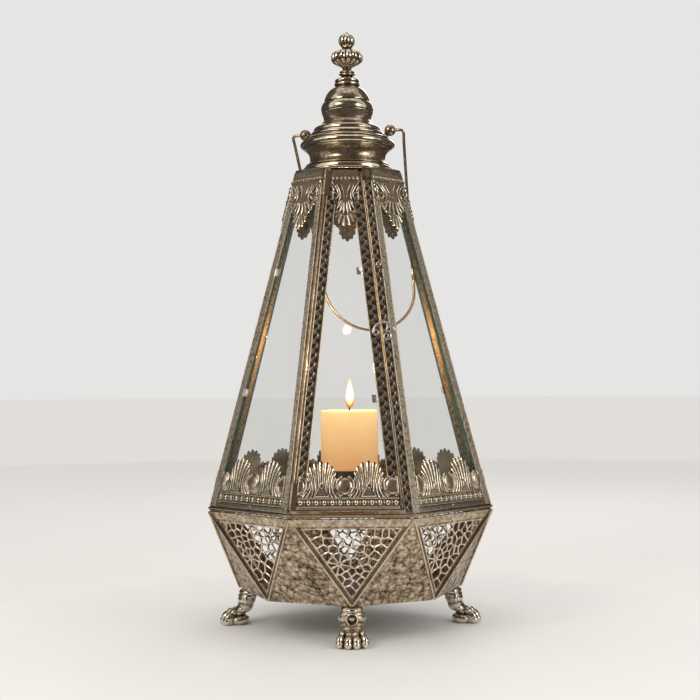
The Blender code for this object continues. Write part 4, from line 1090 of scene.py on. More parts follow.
@dataclass
class PalmetteStrip:
    """Lower stamped strip: plain band, bead and reel, and palmettes between eggs."""

    finishes: Finishes
    pitch: float = 44.4 * MM
    line_v: float = 17.4 * MM
    ribs: int = 9
    fan_v: float = 38.0 * MM
    fan_r: float = 13.9 * MM
    egg_v: float = 27.8 * MM
    egg_r: float = 7.0 * MM
    bead_v: float = 12.3 * MM
    bead_pitch: float = 7.4 * MM

    def build(self) -> None:
        """Makes the strip of every face, the door's among them."""
        for k in range(1, SIDES):
            right = inset(1, 10.7 if k == SIDES - 1 else 8.9)
            strip = FaceStrip(k, inset(-1, 8.9), right, 0.0, 1.2 * MM, Body.LANTERN)
            self.strip(strip, f"palmette_strip_{k}", f"lower_frieze_{k}", 2.5 * MM)
        self.strip(door_strip(-5.9 * MM), "palmette_strip_door", "door_lower_trim", 4.8 * MM)

    def strip(self, strip: FaceStrip, name: str, node: str, bottom: float) -> None:
        """Makes one strip.

        Args:
            strip: Where it lies.
            name: Name of the piece.
            node: Node that it stands for.
            bottom: Lowest place of the band up the slope.
        """
        made = MeshMaker()
        self.band(made, strip, bottom)
        self.beads(made, strip)
        for side in (-0.5, 0.5):
            self.palmette(made, strip, strip.centre + side * self.pitch)
        for side in (-1, 0, 1):
            self.egg(made, strip, strip.centre + side * self.pitch)
        piece = made.finish(name, self.finishes.stamped, strip.body, 50.0, 1.3)
        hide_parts(node)

    def band(self, made: MeshMaker, strip: FaceStrip, bottom: float) -> None:
        """Adds the band: a line of heights up the slope, the same all along the strip."""
        line = np.array(((0.0, 0.5), (0.25, 0.95), (5.2, 1.0), (5.7, 0.85), (6.0, 0.45), (6.5, 0.4), (6.8, 0.85),
                         (7.3, 1.0), (7.8, 0.8), (8.0, 0.35), (14.8, 0.35), (15.1, 0.85), (15.7, 1.05), (16.3, 0.85),
                         (16.6, 0.35), (17.1, 0.35), (17.4, 0.75), (20.5, 0.75))) * MM
        v = np.maximum(line[:, 0] + 0.9 * MM, bottom)[:, None] + np.linspace(0, 1e-6, len(line))[:, None]
        share = np.linspace(0, 1, 40)[None, :]
        x = strip.left(v) + (strip.right(v) - strip.left(v)) * share
        wave = 0.05 * MM * np.sin(x / MM * 1.9) * np.sin(v / MM * 1.3 + x / MM * 0.7)
        strip.sheet(made, x, v, line[:, 1:] + wave, 0.0)

    def beads(self, made: MeshMaker, strip: FaceStrip) -> None:
        """Adds round beads in the channel with a narrow reel between each two."""
        v = self.bead_v
        low, high = strip.left(v) + 3.2 * MM, strip.right(v) - 3.2 * MM
        number = int((high - low) / self.bead_pitch)
        step = (high - low) / number
        for x in low + step * np.arange(number + 1):
            strip.stud(made, (x, v, 0.45 * MM), (2.35, 2.75, 1.9))
        for x in low + step * (np.arange(number) + 0.5):
            strip.stud(made, (x, v, 0.4 * MM), (0.7, 2.5, 1.2), 5, 8)

    def palmette(self, made: MeshMaker, strip: FaceStrip, middle: float) -> None:
        """Adds one palmette: ribs leave the line side by side, draw in and fan out, each a three-point curve.

        s runs across the ribs and t along them. The height is the absolute cosine of the ribs, with a swell
        along them and a curl at their tips, and the tips are cut in scallops by the same cosine.
        """
        s = np.linspace(-1, 1, self.ribs * 10 + 1)[None, :]
        crest = np.abs(np.cos(pi * self.ribs / 2 * s))
        t = np.linspace(0, 1, 20)[:, None] * (1 - 0.11 * (1 - crest ** 0.7) * (1 - 0.3 * s ** 2))
        angle = s * radians(118)
        tip_x, tip_v = self.fan_r * np.sin(angle), self.fan_v + self.fan_r * np.cos(angle)
        x = bezier(s * 18.5 * MM, s * 8.6 * MM, tip_x, t)
        v = bezier(self.line_v + 0 * s, 27.0 * MM + 2.5 * MM * s ** 2, tip_v, t)
        swell = 0.75 + 0.9 * np.sin(pi * np.clip(t * 1.05, 0, 1)) ** 0.7 * (1 - 0.35 * s ** 2)
        proud = MM * (swell - 0.2 + 1.35 * crest ** 0.5 * (0.45 + 0.55 * t) - 0.9 * t ** 8)
        strip.sheet(made, middle + x, v, proud)
        self.foot(made, strip, middle)

    def foot(self, made: MeshMaker, strip: FaceStrip, middle: float) -> None:
        """Adds the small triangle at the palmette's foot: a raised frame and six dots."""
        corners = np.array(((-6.2, 17.9), (0.0, 30.6), (6.2, 17.9), (-6.2, 17.9))) * MM
        share = np.linspace(0, 3, 46)
        x, v = (np.interp(share, np.arange(4), corners[:, axis]) for axis in (0, 1))
        made.tube(strip.place(middle + x, v, 2.3 * MM), 0.42 * MM, 6)
        for dot_x, dot_v in ((-2.6, 20.2), (0.0, 20.2), (2.6, 20.2), (-1.3, 23.0), (1.3, 23.0), (0.0, 25.8)):
            strip.stud(made, (middle + dot_x * MM, dot_v * MM, 2.1 * MM), (0.6, 0.6, 0.7), 4, 8)
        plate_v = np.linspace(17.6, 30.4, 12)[:, None] * MM
        half = (30.6 * MM - plate_v) * 0.49
        x = half * np.linspace(-1, 1, 7)[None, :]
        strip.sheet(made, middle + x, plate_v, 2.0 * MM, 0.2 * MM)

    def egg(self, made: MeshMaker, strip: FaceStrip, middle: float) -> None:
        """Adds one egg and its frame: a dome that is widest above its middle, and two lines curved round it."""
        polar = np.linspace(0.06, 1, 12)[:, None]
        angle = np.linspace(0, 2 * pi, 28, endpoint=False)[None, :]
        x = self.egg_r * polar * np.cos(angle) * (1 + 0.07 * np.sin(angle))
        v = self.egg_v + self.egg_r * 1.12 * polar * np.sin(angle)
        proud = 0.75 * MM + 2.0 * MM * np.sqrt(np.clip(1 - polar ** 2.2, 0, 1)) + 0 * angle
        made.grid(strip.place(middle + x, v, proud), wrap_columns=True)
        made.grid(strip.place(middle + x[:1], v[:1], proud[:1] + polar[:2] * 0.02 * MM), wrap_columns=True)
        for side in (-1, 1):
            turn = np.linspace(radians(66), radians(-68), 26)
            reach = self.egg_r * 1.14
            frame_x = middle + side * reach * np.cos(turn) * (1 + 0.06 * np.sin(turn))
            frame_v = self.egg_v + self.egg_r * 1.3 * np.sin(turn)
            made.tube(strip.place(frame_x, frame_v, 1.5 * MM), np.linspace(1.25, 0.7, 26) * MM, 8)
            outer_x = middle + side * (reach + 2.3 * MM) * np.cos(turn[5:]) * (1 + 0.1 * np.sin(turn[5:]))
            made.tube(strip.place(outer_x, frame_v[5:] - 0.6 * MM, 1.3 * MM), np.linspace(0.9, 0.5, 21) * MM, 7)
        flat_v = np.linspace(self.line_v, self.egg_v + 2 * MM, 6)[:, None]
        flat_x = middle + np.linspace(-8.6, 8.6, 9)[None, :] * MM
        strip.sheet(made, flat_x, flat_v, 0.7 * MM)


def paint_shade_above(mesh: bpy.types.Mesh, level: float, amount: float) -> None:
    """Paints shade on what lies above a height, by this much of the attribute patina_and_shade."""
    values = np.empty(len(mesh.vertices), np.float32)
    layer = mesh.attributes["patina_and_shade"].data
    layer.foreach_get("value", values)
    layer.foreach_set("value", values + amount * (vertex_rows(mesh, "co")[:, 2] > level).astype(np.float32))


@dataclass
class CrownTrim:
    """Upper stamped trim: plain band, oval beads, scrolled leaves and two fans that hang below them."""

    finishes: Finishes
    drop: float = 50.0 * MM
    ribs: int = 7
    bead_pitch: float = 3.5 * MM
    door_top: float = 348.4 * MM
    fan_drop: float = 30.0 * MM
    edge_y: float = 18.5
    apex_y: float = 37.2
    strokes: tuple[Stroke, ...] = (
        (((15.9, 2.2), (11.4, 6.8), (8.7, 12.0), (8.9, 16.6), (11.6, 20.4)), 1.5, 1.9),
        (((17.3, 3.6), (14.4, 7.6), (13.3, 11.2)), 1.15, 1.4),
        (((10.4, 3.4), (6.9, 10.8), (6.5, 17.0), (9.0, 25.4)), 1.3, 1.9),
        (((5.9, 2.8), (3.1, 9.5), (1.3, 17.4)), 0.75, 1.1),
        (((17.6, 9.6), (15.4, 10.6), (14.0, 12.6)), 2.2, 1.2),
        (((17.0, 19.2), (14.4, 20.6), (12.6, 24.0)), 1.1, 1.4),
        (((14.4, 23.6), (12.2, 25.6), (11.0, 29.0)), 1.1, 1.4),
        (((5.2, 21.0), (8.3, 26.5), (10.2, 30.2)), 1.4, 2.0),
        (((3.5, 22.2), (5.2, 28.2), (6.7, 33.2)), 1.9, 2.3),
        (((1.5, 23.4), (2.1, 29.0), (2.6, 35.4)), 2.3, 2.7),
    )

    def build(self) -> None:
        """Makes the band of the fixed faces in one piece, and the door's."""
        top = (SHAPE.top_z - SHAPE.gap - SHAPE.waist_z) / cos(SHAPE.slant)
        fixed = MeshMaker()
        for k in range(1, SIDES):
            cut = 3.8 if k == SIDES - 1 else -0.45
            strip = FaceStrip(k, inset(-1, -0.45), inset(1, cut), (-0.5 * cut - 0.2) * MM, -0.3 * MM, Body.LANTERN)
            self.trim(fixed, strip, top, 13.0 * MM, 1.0)
        self.return_plate(fixed, top)
        piece = fixed.finish("crown_trim", self.finishes.stamped, Body.LANTERN, 50.0, 1.3)
        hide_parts("crown_band")
        self.door_stop_shadow(top)
        made = MeshMaker()
        self.trim(made, door_strip(-3.0 * MM), self.door_top, 12.9 * MM, 1.12)
        piece = made.finish("crown_trim_door", self.finishes.stamped, Body.DOOR, 50.0, 1.3)
        # Painted shade: the upper part of the door's band is darkened.
        paint_shade_above(piece.data, SHAPE.waist_z + (self.door_top - 8.0 * MM) * cos(SHAPE.slant), 0.08)
        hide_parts("door_upper_trim")

    def door_stop_shadow(self, top: float) -> None:
        """Makes the strip under the top plate that the door closes against, dark with painted shadow for the gap
        above the door.
        """
        v = np.linspace(top - 9 * MM, top + 1.7 * MM, 4)[:, None]
        share = np.linspace(0, 1, 8)[None, :]
        x = -(SHAPE.half_width(v) - 5 * MM) + (2 * SHAPE.half_width(v) - 13.5 * MM) * share
        made = MeshMaker()
        made.slab(SHAPE.on_face(0, x, v, 4.9 * MM), SHAPE.on_face(0, x, v, 5.9 * MM))
        # Painted shadow: the strip takes the dark shadowed finish.
        piece = made.finish("door_stop_shadow", self.finishes.shadowed, Body.LANTERN, 40.0)

    def return_plate(self, made: MeshMaker, top: float) -> None:
        """Adds the short band over the leg beside the door."""
        v = np.linspace(top - 13 * MM, top, 6)[:, None]
        x = SHAPE.half_width(v) - (8.4 - np.linspace(0, 8.85, 6)[None, :]) * MM
        made.slab(SHAPE.on_face(0, x, v, -1.3 * MM), SHAPE.on_face(0, x, v, -0.3 * MM))

    def trim(self, made: MeshMaker, strip: FaceStrip, top: float, band: float, scale: float) -> None:
        """Adds one face's band and what hangs from it.

        Args:
            made: Mesh that it goes into.
            strip: Where it lies.
            top: Upper edge of the band up the slope.
            band: Width of the band.
            scale: Factor on the width of the lower fan.
        """
        low = top - band
        half = float(strip.right(low) - strip.left(low)) / 2
        middle = float(strip.right(low) + strip.left(low)) / 2
        line = np.array(((0.0, 0.7), (0.25, 1.0), (0.8, 1.0), (1.0, 0.5), (4.6, 0.5), (4.9, 1.0), (5.3, 1.05),
                         (5.7, 0.9), (6.0, 0.9), (band / MM - 0.6, 0.9), (band / MM - 0.3, 0.9),
                         (band / MM, 0.5))) * MM
        v = low + line[:, :1]
        x = strip.left(v) + (strip.right(v) - strip.left(v)) * np.linspace(0, 1, 24)[None, :]
        strip.sheet(made, x, v, line[:, 1:], 0.0)
        for bead in middle + (half - 2.6 * MM) * np.linspace(-1, 1, round(2 * half / self.bead_pitch) - 1):
            strip.stud(made, (bead, low + 2.8 * MM, 0.5 * MM), (1.35, 2.0, 1.9))
        self.lower_fan(made, strip, middle, low, scale)
        self.shield(made, strip, middle, low, half)

    def shield(self, made: MeshMaker, strip: FaceStrip, middle: float, low: float, half: float) -> None:
        """Adds the shield: one sheet with a scalloped edge, pressed into leaves, scrolls and five lobes.

        Every measure is in millimetres across from its middle and down from the band. The sheet's rows keep
        inside its edge, and its height is the greatest of the strokes that are pressed into it.
        """
        share = half / (17.5 * MM)
        down = np.linspace(0, self.apex_y, 84)[:, None]
        edge = np.interp(down, (0, 15, 19, 22, 26, 30, 32.5, 34.5, 36.2, self.apex_y),
                         (17.4, 17.4, 17.0, 14.4, 12.4, 11.0, 9.6, 7.2, 4.2, 0.6))
        past = down - self.edge_y
        scallop = np.abs(np.sin(pi * past / 3.4)) ** 0.7 * np.clip(past / 1.5, 0, 1)
        edge = edge - 1.0 + (1.5 * scallop) * (past > 0)
        x = edge * np.linspace(-1, 1, 71)[None, :]
        across, deep = np.abs(x), down + 0 * x
        height = np.full_like(x, 0.75)
        for line, width, tall in self.strokes:
            height = np.maximum(height, 0.75 + pressed(across, deep, line, width, tall))
        from_eye = np.hypot(across - 12.3, deep - 15.6)
        height = np.where(from_eye < 1.9, 0.3, height) + 0.8 * np.exp(-((from_eye - 2.9) / 0.75) ** 2)
        rim = np.clip((edge - across) / 0.9, 0, 1) * np.clip((self.apex_y - deep) / 0.9, 0, 1)
        height = height * (0.35 + 0.65 * rim)
        strip.sheet(made, middle + x * share * MM, low - deep * self.drop / 50, height * MM)

    def lower_fan(self, made: MeshMaker, strip: FaceStrip, middle: float, low: float, scale: float) -> None:
        """Adds the small fan behind the shield: seven ribs from one point to the apex."""
        s = np.linspace(-1, 1, self.ribs * 9 + 1)[None, :]
        crest = np.abs(np.cos(pi * self.ribs / 2 * s))
        t = np.linspace(0.12, 1, 14)[:, None] * (1 - 0.13 * (1 - crest))
        angle = s * radians(82)
        start = low - self.fan_drop
        length = (self.drop - self.fan_drop) * (1 - 0.42 * np.abs(s) ** 1.3)
        x = length * t * np.sin(angle) * 0.78 * scale
        v = start - length * t * np.cos(angle * 0.95)
        proud = MM * (0.5 + 0.9 * np.sin(pi * t * 0.8) + 0.8 * crest ** 0.7 * t)
        strip.sheet(made, middle + x, v, proud, 0.05 * MM)


@dataclass(frozen=True)
class VineRun:
    """One embossed run of leaf and vine: its edges along the face, its ends up the slope, and its back plane."""

    name: str
    body: Body
    inner: Callable[[Array], Array]
    outer: Callable[[Array], Array]
    low: float
    high: float
    depth: float


def shade_by_height(mesh: bpy.types.Mesh, out: Array) -> None:
    """Darkens the ground of an embossed strip and brightens what stands on it.

    Args:
        mesh: Mesh of the strip, with the attribute patina.
        out: Direction in which the strip is embossed.
    """
    proud = vertex_rows(mesh, "co") @ out
    share = np.clip((proud - proud.min() - 0.05 * MM) / (0.36 * MM), 0, 1)
    mesh.attributes["patina_and_shade"].data.foreach_set("value", (0.30 - 0.62 * share ** 0.8).astype(np.float32))


@dataclass
class VineStrips:
    """Embossed strips of a leafy vine on the door's stiles and on the leg beside it."""

    finishes: Finishes
    leaf_pitch: float = 9.6 * MM
    row_pitch: float = 0.62 * MM
    tall: float = 0.42 * MM

    def build(self) -> None:
        """Makes the three strips."""
        runs = (
            VineRun("vine_stile_left", Body.DOOR, inset(-1, 3.6), inset(-1, 12.6), 5.0 * MM, 345.0 * MM, 0.12 * MM),
            VineRun("vine_stile_right", Body.DOOR, inset(1, 20.2), inset(1, 9.7), 5.0 * MM, 345.0 * MM, 0.12 * MM),
            VineRun("vine_leg", Body.LANTERN, inset(1, 8.2), inset(1, 0.25), 3.2 * MM, 336.0 * MM, 0.02 * MM),
        )
        for run in runs:
            self.strip(run)

    def strip(self, run: VineRun) -> None:
        """Makes one strip: a wavy stem, pairs of leaves and beaded edges as one height over the strip."""
        rows = int((run.high - run.low) / self.row_pitch)
        v = np.linspace(run.low, run.high, rows)[:, None]
        share = np.linspace(0, 1, 23)[None, :]
        x = run.inner(v) + (run.outer(v) - run.inner(v)) * share
        width = np.abs(run.outer(v) - run.inner(v))
        across = (share - 0.5) * width / (0.5 * width.mean())
        phase = 2 * pi * v / self.leaf_pitch
        stem = np.exp(-((across - 0.34 * np.sin(phase)) / 0.13) ** 2)
        leaf = np.zeros_like(x)
        for side in (-1, 1):
            local = np.mod(v / self.leaf_pitch + 0.25 + 0.25 * side, 1.0) - 0.5
            u = (across - side * 0.42) * 1.5
            w = local * 3.4 - side * across * 0.9
            shape = 1 - (u * 1.5) ** 2 - w ** 2
            vein = 0.25 * np.abs(np.sin(9 * (u + w)))
            leaf = np.maximum(leaf, np.clip(shape, 0, 1) ** 0.6 * (1 - vein))
        edge = np.exp(-((np.abs(across) - 0.93) / 0.06) ** 2)
        dots = np.exp(-((np.abs(across) - 0.79) / 0.05) ** 2) * (0.5 + 0.5 * np.cos(2 * pi * v / (2.0 * MM)))
        height = np.maximum.reduce((stem, leaf, 0.8 * edge, 0.5 * dots)) * self.tall
        made = MeshMaker()
        made.slab(SHAPE.on_face(0, x, v, run.depth - 0.05 * MM - height), SHAPE.on_face(0, x, v, run.depth + 0 * x))
        piece = made.finish(run.name, self.finishes.embossed, run.body, 60.0)
        shade_by_height(piece.data, np.array((0.0, -cos(SHAPE.slant), sin(SHAPE.slant))))


@dataclass
class Head:
    """Turned roof, finial, ball lugs and wire bail."""

    finishes: Finishes
    lug_z: float = 510.7 * MM
    lug_out: float = 46.0 * MM
    lug_r: float = 5.9 * MM
    bail_yaw: float = radians(-16.0)
    bail_rest: float = radians(28.5)
    wire_r: float = 1.55 * MM
    half_top: float = 60.0 * MM
    bow_r: float = 51.0 * MM
    drop: float = 180.0 * MM
    lobes: int = 13
    bud_lobes: int = 8
    plate_wall: float = 2.6 * MM
    roll_r: float = 1.25 * MM
    soft_corner: float = 0.5 * MM

    def build(self) -> None:
        """Makes the pieces of the head."""
        self.roof()
        self.plate_edge()
        self.finial()
        self.lugs()
        self.bail()

    def roof(self) -> None:
        """Spun roof: a smooth line of bellied rings with fine sunk grooves, turned about the axis."""
        top = SHAPE.top_z / MM
        line = ((45.5, 3.2), (46.3, 4.4), (46.1, 7.2), (44.6, 8.6), (43.6, 9.0), (43.4, 9.5), (43.9, 10.2),
                (42.4, 11.4), (40.3, 13.4), (39.5, 16.0), (39.6, 19.0), (40.6, 22.4), (42.6, 25.2), (45.6, 27.2),
                (46.3, 27.7),
                (46.5, 28.3), (48.2, 29.2), (49.4, 31.4), (49.0, 33.6), (46.9, 35.4), (45.3, 36.0), (45.0, 36.6),
                (45.2, 37.3), (42.6, 39.0), (39.4, 40.6), (38.9, 41.2), (39.1, 42.3), (38.0, 44.2), (36.2, 45.3),
                (35.4, 45.8), (35.6, 46.8), (35.0, 49.0), (33.6, 50.2), (31.0, 51.4), (28.2, 53.2), (26.6, 55.2),
                (25.3, 57.0), (24.5, 57.6), (24.4, 58.4), (24.9, 60.5), (26.1, 64.2), (26.9, 66.6), (26.7, 67.1),
                (27.2, 68.4), (27.4, 71.0), (26.6, 74.2), (25.0, 76.4), (24.0, 77.0), (23.9, 77.6), (24.1, 78.4),
                (23.3, 81.6), (21.4, 85.6), (18.4, 89.4), (15.2, 91.8), (12.8, 93.0), (12.2, 93.6), (12.1, 94.4),
                (13.2, 95.3), (13.3, 96.8), (12.4, 97.7), (12.2, 98.2), (12.6, 98.9), (12.7, 100.6), (11.7, 101.5))
        outer = spline(line, 420)
        inner = np.array(((3.2, 101.4), (3.2, 97.5), (9.0, 97.5), (10.5, 92.0), (18.0, 87.0), (21.5, 77.0),
                          (24.9, 71.0), (22.4, 63.0), (26.0, 54.0), (33.0, 46.0), (36.5, 41.5), (45.0, 34.5),
                          (44.5, 29.5), (37.8, 20.0), (39.5, 11.5), (43.5, 3.2)))
        profile = np.vstack((outer, inner, outer[:1])) + np.array((0.0, top))
        made = MeshMaker()
        made.turned(profile * MM, 128)
        piece = made.finish("spun_roof", self.finishes.spun, Body.LANTERN, 50.0, 1.2)
        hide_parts("roof_cap")

    def plate_edge(self) -> None:
        """Eight-sided top plate with softened corners, a rolled edge and a round vent."""
        thickness, radius, hole = self.plate_wall, SHAPE.top_r + 1.0 * MM, 36.0 * MM
        roll_r, soft = self.roll_r, self.soft_corner
        count = 8 * SIDES
        angle = 2 * pi * np.arange(count) / count
        within = np.mod(angle, 2 * HALF_SIDE) - HALF_SIDE
        edge = radius * cos(HALF_SIDE) / np.cos(within)
        edge = -np.logaddexp(-edge / soft, -(radius - 0.35 * MM) / soft) * soft
        roll = np.linspace(-0.5 * pi, 0.5 * pi, 9)
        reach, level = np.cos(roll) * roll_r, (1 + np.sin(roll)) / 2 * thickness
        turn = angle - pi / 2 + HALF_SIDE
        radii = np.vstack((edge[None] - roll_r + reach[:, None], edge[None] - 2.6 * MM, edge[None] - 3.0 * MM,
                           np.full((2, count), hole)))
        heights = SHAPE.top_z + np.concatenate((level, (thickness, thickness * 0.8, thickness * 0.8, 0.0)))
        surface = np.stack((radii * np.cos(turn), radii * np.sin(turn), heights[:, None] + 0 * radii), axis=-1)
        made = MeshMaker()
        made.grid(surface, wrap_rows=True, wrap_columns=True)
        piece = made.finish("top_plate_rolled", self.finishes.spun, Body.LANTERN, 50.0)
        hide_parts("top_plate")

    def finial(self) -> None:
        """Finial: a turned line whose radius swells in round lobes on the bulb and in finer ones on the bud."""
        seat = SHAPE.top_z / MM + 101.8
        line = spline(((2.8, -5.5), (2.8, -0.4), (3.0, 0.02), (7.0, 0.05), (7.4, 0.7), (6.6, 1.6), (5.7, 2.4),
                       (5.8, 3.2), (7.8, 4.1), (8.6, 4.9), (7.6, 5.7), (6.6, 6.2), (7.6, 6.9), (7.8, 7.8), (6.0, 8.9),
                       (4.8, 10.2), (4.9, 11.8), (7.2, 13.6), (11.6, 15.6), (15.0, 17.9), (16.5, 20.4), (16.9, 22.6),
                       (16.4, 25.2), (14.6, 27.8), (10.6, 29.9), (6.6, 31.1), (5.0, 31.9), (4.8, 32.9), (6.0, 34.4),
                       (7.8, 37.0), (8.7, 40.2), (8.3, 43.4), (6.4, 46.2), (3.6, 47.8), (1.7, 48.6), (1.4, 49.3),
                       (0.6, 50.1), (0.01, 50.15)), 260)

        def lobed(angle: Array, height: Array) -> Array:
            """Round ribs with narrow grooves: the absolute cosine of half the turn, faded in over bulb and bud."""
            level = height / MM - seat
            bulb = np.clip((level - 11.0) / 4, 0, 1) * np.clip((31.6 - level) / 2.5, 0, 1)
            bud = np.clip((level - 33.0) / 3, 0, 1) * np.clip((48.0 - level) / 4, 0, 1)
            rib = np.abs(np.cos(angle * self.lobes / 2)) ** 0.6
            fine = np.abs(np.cos(angle * self.bud_lobes / 2)) ** 0.6
            return 1 - 0.16 * bulb * (1 - rib) - 0.13 * bud * (1 - fine)

        made = MeshMaker()
        steps = self.lobes * 2 * self.bud_lobes
        made.turned(np.vstack(((0.01, -5.5), line)) * MM + np.array((0.0, seat * MM)), steps, fluting=lobed)
        piece = made.finish("gadrooned_finial", self.finishes.spun, Body.LANTERN, 60.0, 2.0)
        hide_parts("finial")

    def bail_axes(self) -> tuple[Array, Array]:
        """The bail's axis, and its direction down from it at rest."""
        axis = np.array((cos(self.bail_yaw), sin(self.bail_yaw), 0.0))
        back = np.array((-sin(self.bail_yaw), cos(self.bail_yaw), 0.0))
        return axis, back * sin(self.bail_rest) - np.array((0.0, 0.0, cos(self.bail_rest)))

    def lugs(self) -> None:
        """Ball lugs: a ball with a collar where it stands on its leaning neck."""
        axis, _ = self.bail_axes()
        lean = radians(46.0)
        angle = np.linspace(0, 0.86 * pi, 40)
        ball = np.stack((np.maximum(self.lug_r * np.sin(angle), TIP_R), -self.lug_r * np.cos(angle)), axis=1)
        neck = np.array(((2.5, 5.35), (2.3, 5.6), (2.9, 5.9), (3.0, 6.3), (2.5, 6.6), (2.4, 6.95), (0.001, 6.95)))
        for name, way in (("left", -1), ("right", 1)):
            out = axis * way
            toward = Vector(-out * cos(lean) + np.array((0.0, 0.0, -sin(lean))))
            place = Matrix.Translation(Vector(out * self.lug_out) + Vector((0, 0, self.lug_z)))
            made = MeshMaker()
            turn = toward.to_track_quat("Z", "Y").to_matrix().to_4x4()
            made.turned(np.vstack((ball, neck * MM)), 40, place @ turn)
            piece = made.finish(f"ball_lug_{name}", self.finishes.polished, Body.LANTERN, 50.0)
            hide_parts(f"bail_lug_{name}")

    def bail(self) -> None:
        """Wire bail: two arms bent out of the lugs and a round bow, one bar carried along their line."""
        axis, down = self.bail_axes()
        bend = 3.5 * MM
        corner = np.linspace(pi / 2, 0, 9)
        bent = np.stack((self.half_top - bend + bend * np.cos(corner), bend - bend * np.sin(corner)), axis=1)
        side = np.vstack(((self.lug_out + 2 * MM, 0.0), (self.half_top - bend - 1 * MM, 0.0), bent))
        reach = np.linspace(0.06, 0.97, 14)
        arm = np.stack((self.half_top + (self.bow_r - self.half_top) * reach ** 0.9, reach * self.drop), axis=1)
        turn = np.linspace(0, pi, 49)
        bow = np.stack((self.bow_r * np.cos(turn), self.drop + self.bow_r * np.sin(turn)), axis=1)
        line = np.vstack((side, arm, bow, (arm * (-1, 1))[::-1], (side * (-1, 1))[::-1]))
        path = np.array((0.0, 0.0, self.lug_z)) + line[:, :1] * axis + line[:, 1:] * down
        made = MeshMaker()
        made.tube(path, self.wire_r, 12)
        piece = made.finish("bail_wire", self.finishes.polished, Body.BAIL, 50.0)
        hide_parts("bail_handle")


@dataclass
class CandleSet:
    """Pillar candle with a softened rim and a pool, its curved wick and its flame."""

    finishes: Finishes
    seat_z: float = 153.7 * MM
    top_z: float = 220.4 * MM
    radius: float = 30.0 * MM
    flame_z: float = 222.2 * MM
    flame_tall: float = 31.0 * MM
    flame_r: float = 4.9 * MM
    flame_x: float = 0.6 * MM

    def build(self) -> None:
        """Makes the candle, the wick and the flame."""
        self.pillar()
        self.wick()
        self.flame()

    def pillar(self) -> None:
        """Candle: a turned line, wavered round the rim so that the top isn't quite level."""
        r, top, seat = self.radius / MM, self.top_z / MM, self.seat_z / MM
        wall = np.stack((np.full(30, r - 0.05), np.linspace(seat + 0.8, top - 2.2, 30)), axis=1)
        rim = spline(((r - 0.05, top - 2.2), (r - 0.5, top - 0.9), (r - 1.8, top - 0.3), (r - 3.6, top - 0.9),
                      (r - 6.0, top - 2.4), (r - 10.0, top - 3.3), (8.0, top - 3.4), (0.01, top - 3.2)), 40)
        base = np.array(((0.01, seat), (r - 1.2, seat), (r - 0.3, seat + 0.3)))

        def wavered(angle: Array, height: Array) -> Array:
            """A slow waver of the radius that grows towards the top."""
            return 1 - 0.006 * np.clip((height - self.seat_z) / (60 * MM), 0, 1) * (1 + np.cos(2 * angle + 0.8))

        made = MeshMaker()
        made.turned(np.vstack((base, wall, rim)) * MM, 72, fluting=wavered)
        piece = made.finish("pillar_candle", self.finishes.wax, Body.LANTERN, 50.0)
        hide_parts("candle")

    def wick(self) -> None:
        """Wick: a thin bar that bends over at its tip."""
        top = self.top_z / MM
        line = spline(((0, 0, top - 3.0), (0.1, 0, top + 1.0), (0.2, 0, top + 4.0), (0.9, 0.1, top + 6.9)), 16) * MM
        made = MeshMaker()
        made.tube(line, np.linspace(0.95, 0.7, 16) * MM, 10)
        piece = made.finish("burnt_wick", self.finishes.char, Body.LANTERN, 60.0)
        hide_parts("candle_wick")

    def flame(self) -> None:
        """Flame: a drop whose radius rises fast from its foot and thins to a point, a little off the axis."""
        share = np.linspace(0, 1, 40)
        radius = self.flame_r * (np.sin(pi * share ** 0.62) ** 0.85) * (1 - 0.28 * share) + TIP_R
        height = self.flame_z + self.flame_tall * share
        made = MeshMaker()
        made.turned(np.stack((radius, height), axis=1), 28, Matrix.Translation((self.flame_x, 0.0, 0.0)))
        made.finish("candle_flame", self.finishes.flame, Body.LANTERN, 80.0)


